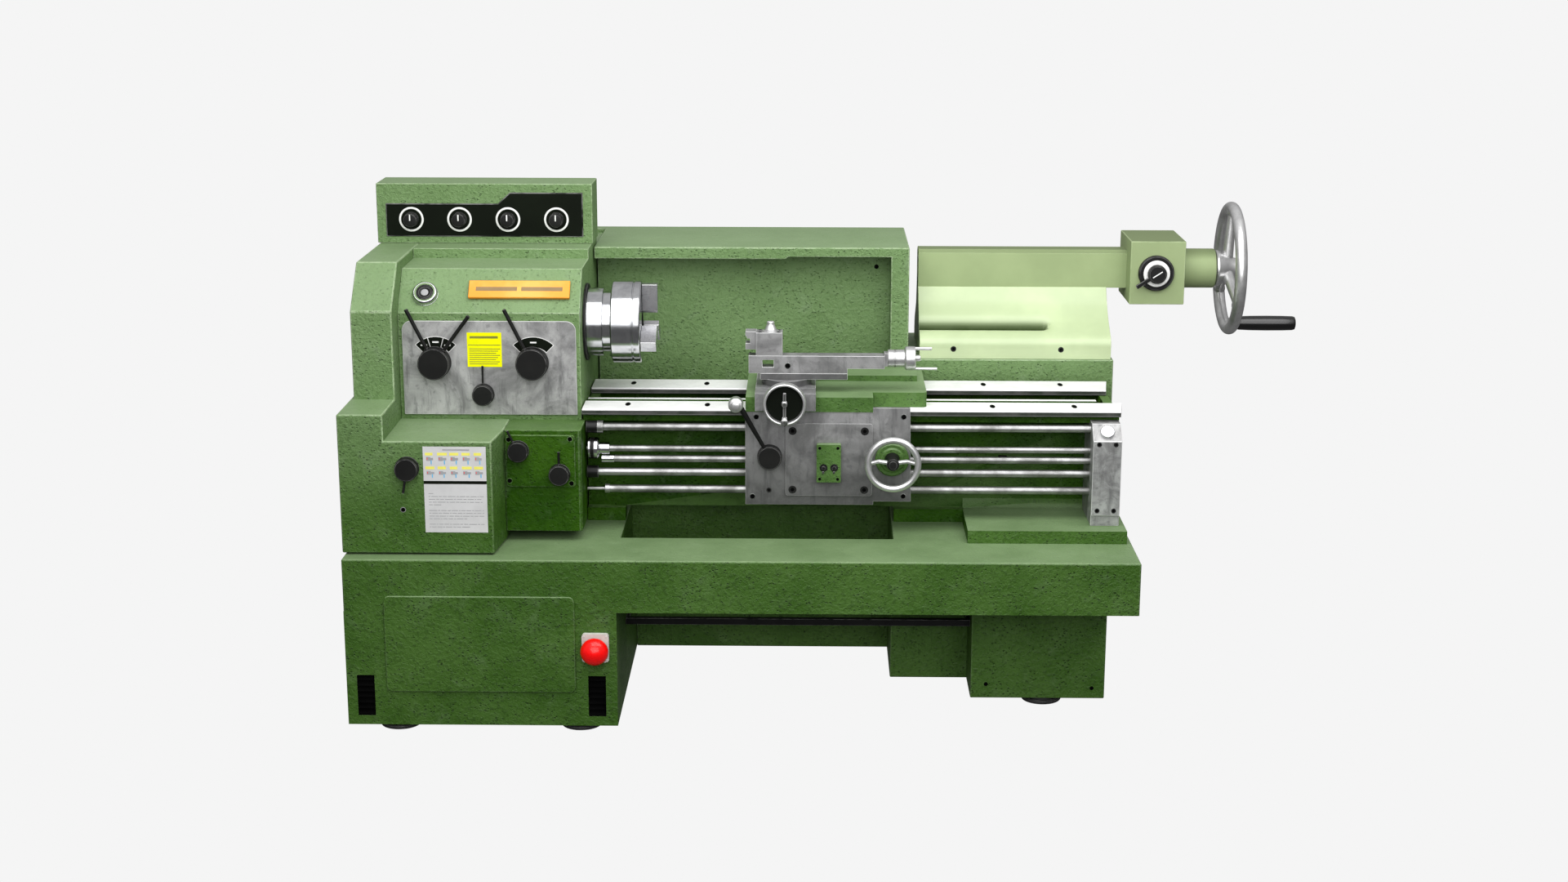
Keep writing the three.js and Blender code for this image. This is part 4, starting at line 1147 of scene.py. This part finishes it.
def boredSlab(outline, centre, radius, low, high, soft, rays=72):
    # an outline raised along X with a round bore right through it
    middle = Vector(centre)
    sides = [(Vector(a), Vector(b)) for a, b in zip(outline, outline[1:] + outline[:1])]
    angles = {round(math.tau * i / rays, 4) for i in range(rays)}
    angles |= {round(math.atan2(v - centre[1], u - centre[0]) % math.tau, 4) for u, v in outline}
    bm = bmesh.new()
    rings = ([], [])
    for angle in sorted(angles):
        ray = Vector((math.cos(angle), math.sin(angle)))
        reach = []
        for a, b in sides:
            across = (b - a).cross(ray)
            if abs(across) > 1e-6:
                along = (middle - a).cross(ray) / across
                far = (middle - a).cross(b - a) / across
                if -1e-3 <= along <= 1.001 and far > 0:
                    reach.append(far)
        for ring, distance in zip(rings, (min(reach), radius)):
            spot = middle + ray * distance
            ring.append(bm.verts.new((low, spot.x, spot.y)))
    outer, inner = rings
    for i in range(len(outer)):
        j = (i + 1) % len(outer)
        bm.faces.new((outer[i], outer[j], inner[j], inner[i]))
    made = bmesh.ops.extrude_face_region(bm, geom=bm.faces[:])["geom"]
    lifted = [part for part in made if isinstance(part, bmesh.types.BMVert)]
    bmesh.ops.translate(bm, vec=(high - low, 0, 0), verts=lifted)
    return settle(bm, Matrix.Identity(4), soft, 3)


barrel = [(895, 1112), (985, 1112), (985, 1212), (968, 1228), (908, 1228), (895, 1218)]
tailSleeve = [(0, 2421), (60.3, 2421), (60.3, 2526), (58.5, 2529.6), (0, 2529.6)]
mouth = [(31.2, 1618.7), (38, 1618.7), (38, 1621), (31.2, 1621)]
piece("tailFoot", "frame", [paleEnamel], [tailFoot(tail)], ["tailstock"], 40)
piece("tailBarrel", "frame", [barrelEnamel, wayBright],
      [
          boredSlab(barrel, (940, 1167), 31.1, tail["left"], 2257, 2.6),
          turned(mouth, (0, 940, 1167), "x", 64, 0.3, True, 1),
      ])
piece("tailClampBlock", "frame", [barrelEnamel, barrelEnamel],
      [
          brick(2256, 2422, 815, 1050, 1075, 1268, 3.0),
          turned(tailSleeve, (0, 940, 1167), "x", 96, 0.3, False, 1),
      ])
screws = [part for spot in tail["screws"] for part in socketScrew(spot, 8.5)]
piece("tailScrews", "frame", [blackIron, holeShadeBlack], screws)
quillProfile = [
    (0, 1620), (3, 1622), (12, 1634), (12, 1636), (27, 1636), (29.6, 1637.4), (30.5, 1640), (30.5, 2120),
    (0, 2120),
]
piece(
    "quill", "quill", [rodBright], [turned(quillProfile, (0, 940, 1167), "x", 72, 0.3)],
    ["quill"],
)

handwheel = {"centre": (2580, 940, 1167), "radius": 186, "tube": 18}
x, y, z = handwheel["centre"]
cone = [
    (0, 2530.4), (44, 2530.4), (54, 2534), (56, 2540), (50, 2551), (43, 2563), (37, 2576), (33, 2590),
    (30.5, 2606), (29.5, 2612),
]
cone += [(26, 2617), (20, 2620), (8, 2620.4), (7, 2617), (0, 2617)]
shapes = [
    hoop(handwheel["radius"], handwheel["tube"], handwheel["centre"], "x", 144, 28),
    turned(cone, (0, y, z), "x", 80, 0.2),
]
for degrees in (90, 210, 330):
    a = math.radians(degrees)
    shapes.append(
        rod(
            (2570, y + 22 * math.cos(a), z + 22 * math.sin(a)),
            (2580, y + 180 * math.cos(a), z + 180 * math.sin(a)), 18, 12, 32, 0,
        ),
    )
    shapes.append(turned([(0, -22), (10, -19), (16, -12), (18.5, 0), (16, 12), (10, 19), (0, 22)],
                         (2580, y + 176 * math.cos(a), z + 176 * math.sin(a)), "y", 28))
shapes.append(
    turned(
        [(0, 2584), (17, 2584), (17, 2599), (14, 2603), (12, 2606), (0, 2606)], (0, y, 995.5), "x", 40,
        0.3,
    ),
)
piece("tailWheel", "tail_wheel", [wheelBright], shapes, ["tail_wheel"], 50)
gripProfile = [
    (0, 2606.4), (16, 2606.4), (19, 2609), (21, 2616), (22.4, 2650), (23, 2700), (22.6, 2750),
    (21.6, 2781), (19.6, 2788), (15, 2790), (0, 2790),
]
piece("crankGrip", "crank_grip", [glossGrip, chuckChrome],
      [turned(gripProfile, (0, y, 995.5), "x", 64, 0.3),
       hoop(18.6, 1.3, (2608, y, 995.5), "x", 56, 10, 1)],
      ["crank_grip"], 40)

clamp = {"x": 2334, "z": 1172}
spot = (clamp["x"], 0, clamp["z"])
outer = [(0, 801), (50, 801), (53, 803), (54, 806), (54, 814.6), (0, 814.6)]
whiteRing = [(0, 795), (38, 795), (40, 797), (40, 802), (0, 802)]
knobDisc = [(0, 778), (24, 778), (27, 780), (28.5, 783), (28.5, 796), (0, 796)]
arm = brick(-73, -16, -4, 4, -6, 6, 1.6, 0)
lean = Matrix.Translation((clamp["x"], 786, clamp["z"])) @ Matrix.Rotation(math.radians(-33), 4, "Y")
bmesh.ops.transform(arm, matrix=lean, verts=arm.verts)
mark = brick(-17, 17, -1, 1, -1.6, 1.6, 0.3, 1)
bmesh.ops.transform(
    mark,
    matrix=Matrix.Translation((clamp["x"], 777.8, clamp["z"])) @ Matrix.Rotation(math.radians(-33), 4, "Y"),
    verts=mark.verts,
)
piece("clampDial", "clamp_lever", [blackMould, whitePrint],
      [
          turned(outer, spot, "y", 80, 0.4), turned(whiteRing, spot, "y", 72, 0.3, False, 1),
          turned(knobDisc, spot, "y", 64, 0.4), arm, mark,
      ],
      ["clamp_lever"])
print("tailstock done")

# Floor, light and camera

studio = {
    "floorSize": 400.0,
    "floorTone": shade(245, 245, 245),
    "below": (0.14, 0.14, 0.14, 1.0),
    "horizon": (0.3, 0.3, 0.3, 1.0),
    "zenith": (0.62, 0.62, 0.62, 1.0),
    # soft boxes: place, aim, size across and deep, watts
    "boxes": {
        "overhead": ((0.2, -1.1, 2.8), (0.0, 0.1, 0.7), (3.8, 1.6), 66.0),
        "front": ((-0.1, -5.2, 3.4), (0.0, 0.0, 0.8), (7.0, 2.6), 160.0),
        "low": ((0.5, -5.0, 1.7), (0.2, 0.3, 1.05), (5.0, 1.2), 48.0),
    },
}
floorMesh = bmesh.new()
bmesh.ops.create_grid(floorMesh, x_segments=2, y_segments=2, size=studio["floorSize"] / 2)
mesh = bpy.data.meshes.new("studioFloor")
floorMesh.to_mesh(mesh)
floorMesh.free()
floor = bpy.data.objects.new("studioFloor", mesh)
bpy.context.scene.collection.objects.link(floor)
floorFinish = bpy.data.materials.new("floorPaper")
floorFinish.use_nodes = True
paper = floorFinish.node_tree.nodes["Principled BSDF"]
floorLook = {"Base Color": (0, 0, 0, 1), "Roughness": 1.0, "Specular IOR Level": 0.0}
floorLook |= {"Emission Color": studio["floorTone"], "Emission Strength": 1.0}
Sheet(floorFinish.node_tree).feed(paper, floorLook)
mesh.materials.append(floorFinish)
# an evenly lit table: it is seen, but throws no light back onto the machine
floor.visible_diffuse = False
floor.visible_glossy = False

world = bpy.data.worlds.new("studioSky")
world.use_nodes = True
bpy.context.scene.world = world
sky = Sheet(world.node_tree)
height = sky.node("ShaderNodeSeparateXYZ", None, {0: sky.node("ShaderNodeTexCoord", output="Generated")}, 2)
glow = sky.mix(sky.ease(height, -0.1, 0.15), studio["below"], studio["horizon"])
glow = sky.mix(sky.ease(height, 0.1, 0.95), glow, studio["zenith"])
sky.feed(world.node_tree.nodes["Background"], {"Color": glow})

for name, (place, aim, size, watts) in studio["boxes"].items():
    boxData = bpy.data.lights.new(name + "Box", "AREA")
    boxData.shape = "RECTANGLE"
    boxData.size, boxData.size_y = size
    boxData.energy = watts
    box = bpy.data.objects.new(name + "Box", boxData)
    box.location = place
    box.rotation_euler = (Vector(aim) - Vector(place)).to_track_quat("-Z", "Y").to_euler()
    bpy.context.scene.collection.objects.link(box)

view = {"place": (1290.667, -5720.683, 2262.4), "yaw": -0.7177, "pitch": 13.923, "roll": 0.1146}
yaw, pitch, roll = (math.radians(view[key]) for key in ("yaw", "pitch", "roll"))
ahead = Vector((math.sin(yaw) * math.cos(pitch), math.cos(yaw) * math.cos(pitch), -math.sin(pitch)))
across = Vector((math.cos(yaw), -math.sin(yaw), 0))
upright = across.cross(ahead)
across, upright = (
    across * math.cos(roll) + upright * math.sin(roll),
    upright * math.cos(roll) - across * math.sin(roll),
)
cameraData = bpy.data.cameras.new("shopCamera")
cameraData.lens = 50
cameraData.sensor_width = 36
camera = bpy.data.objects.new("shopCamera", cameraData)
axes = Matrix((across, upright, -ahead)).transposed().to_4x4()
camera.matrix_world = Matrix.Translation(toFrame @ Vector(view["place"])) @ axes
bpy.context.scene.collection.objects.link(camera)
bpy.context.scene.camera = camera
bpy.context.scene.view_settings.view_transform = "Standard"
print("studio done")
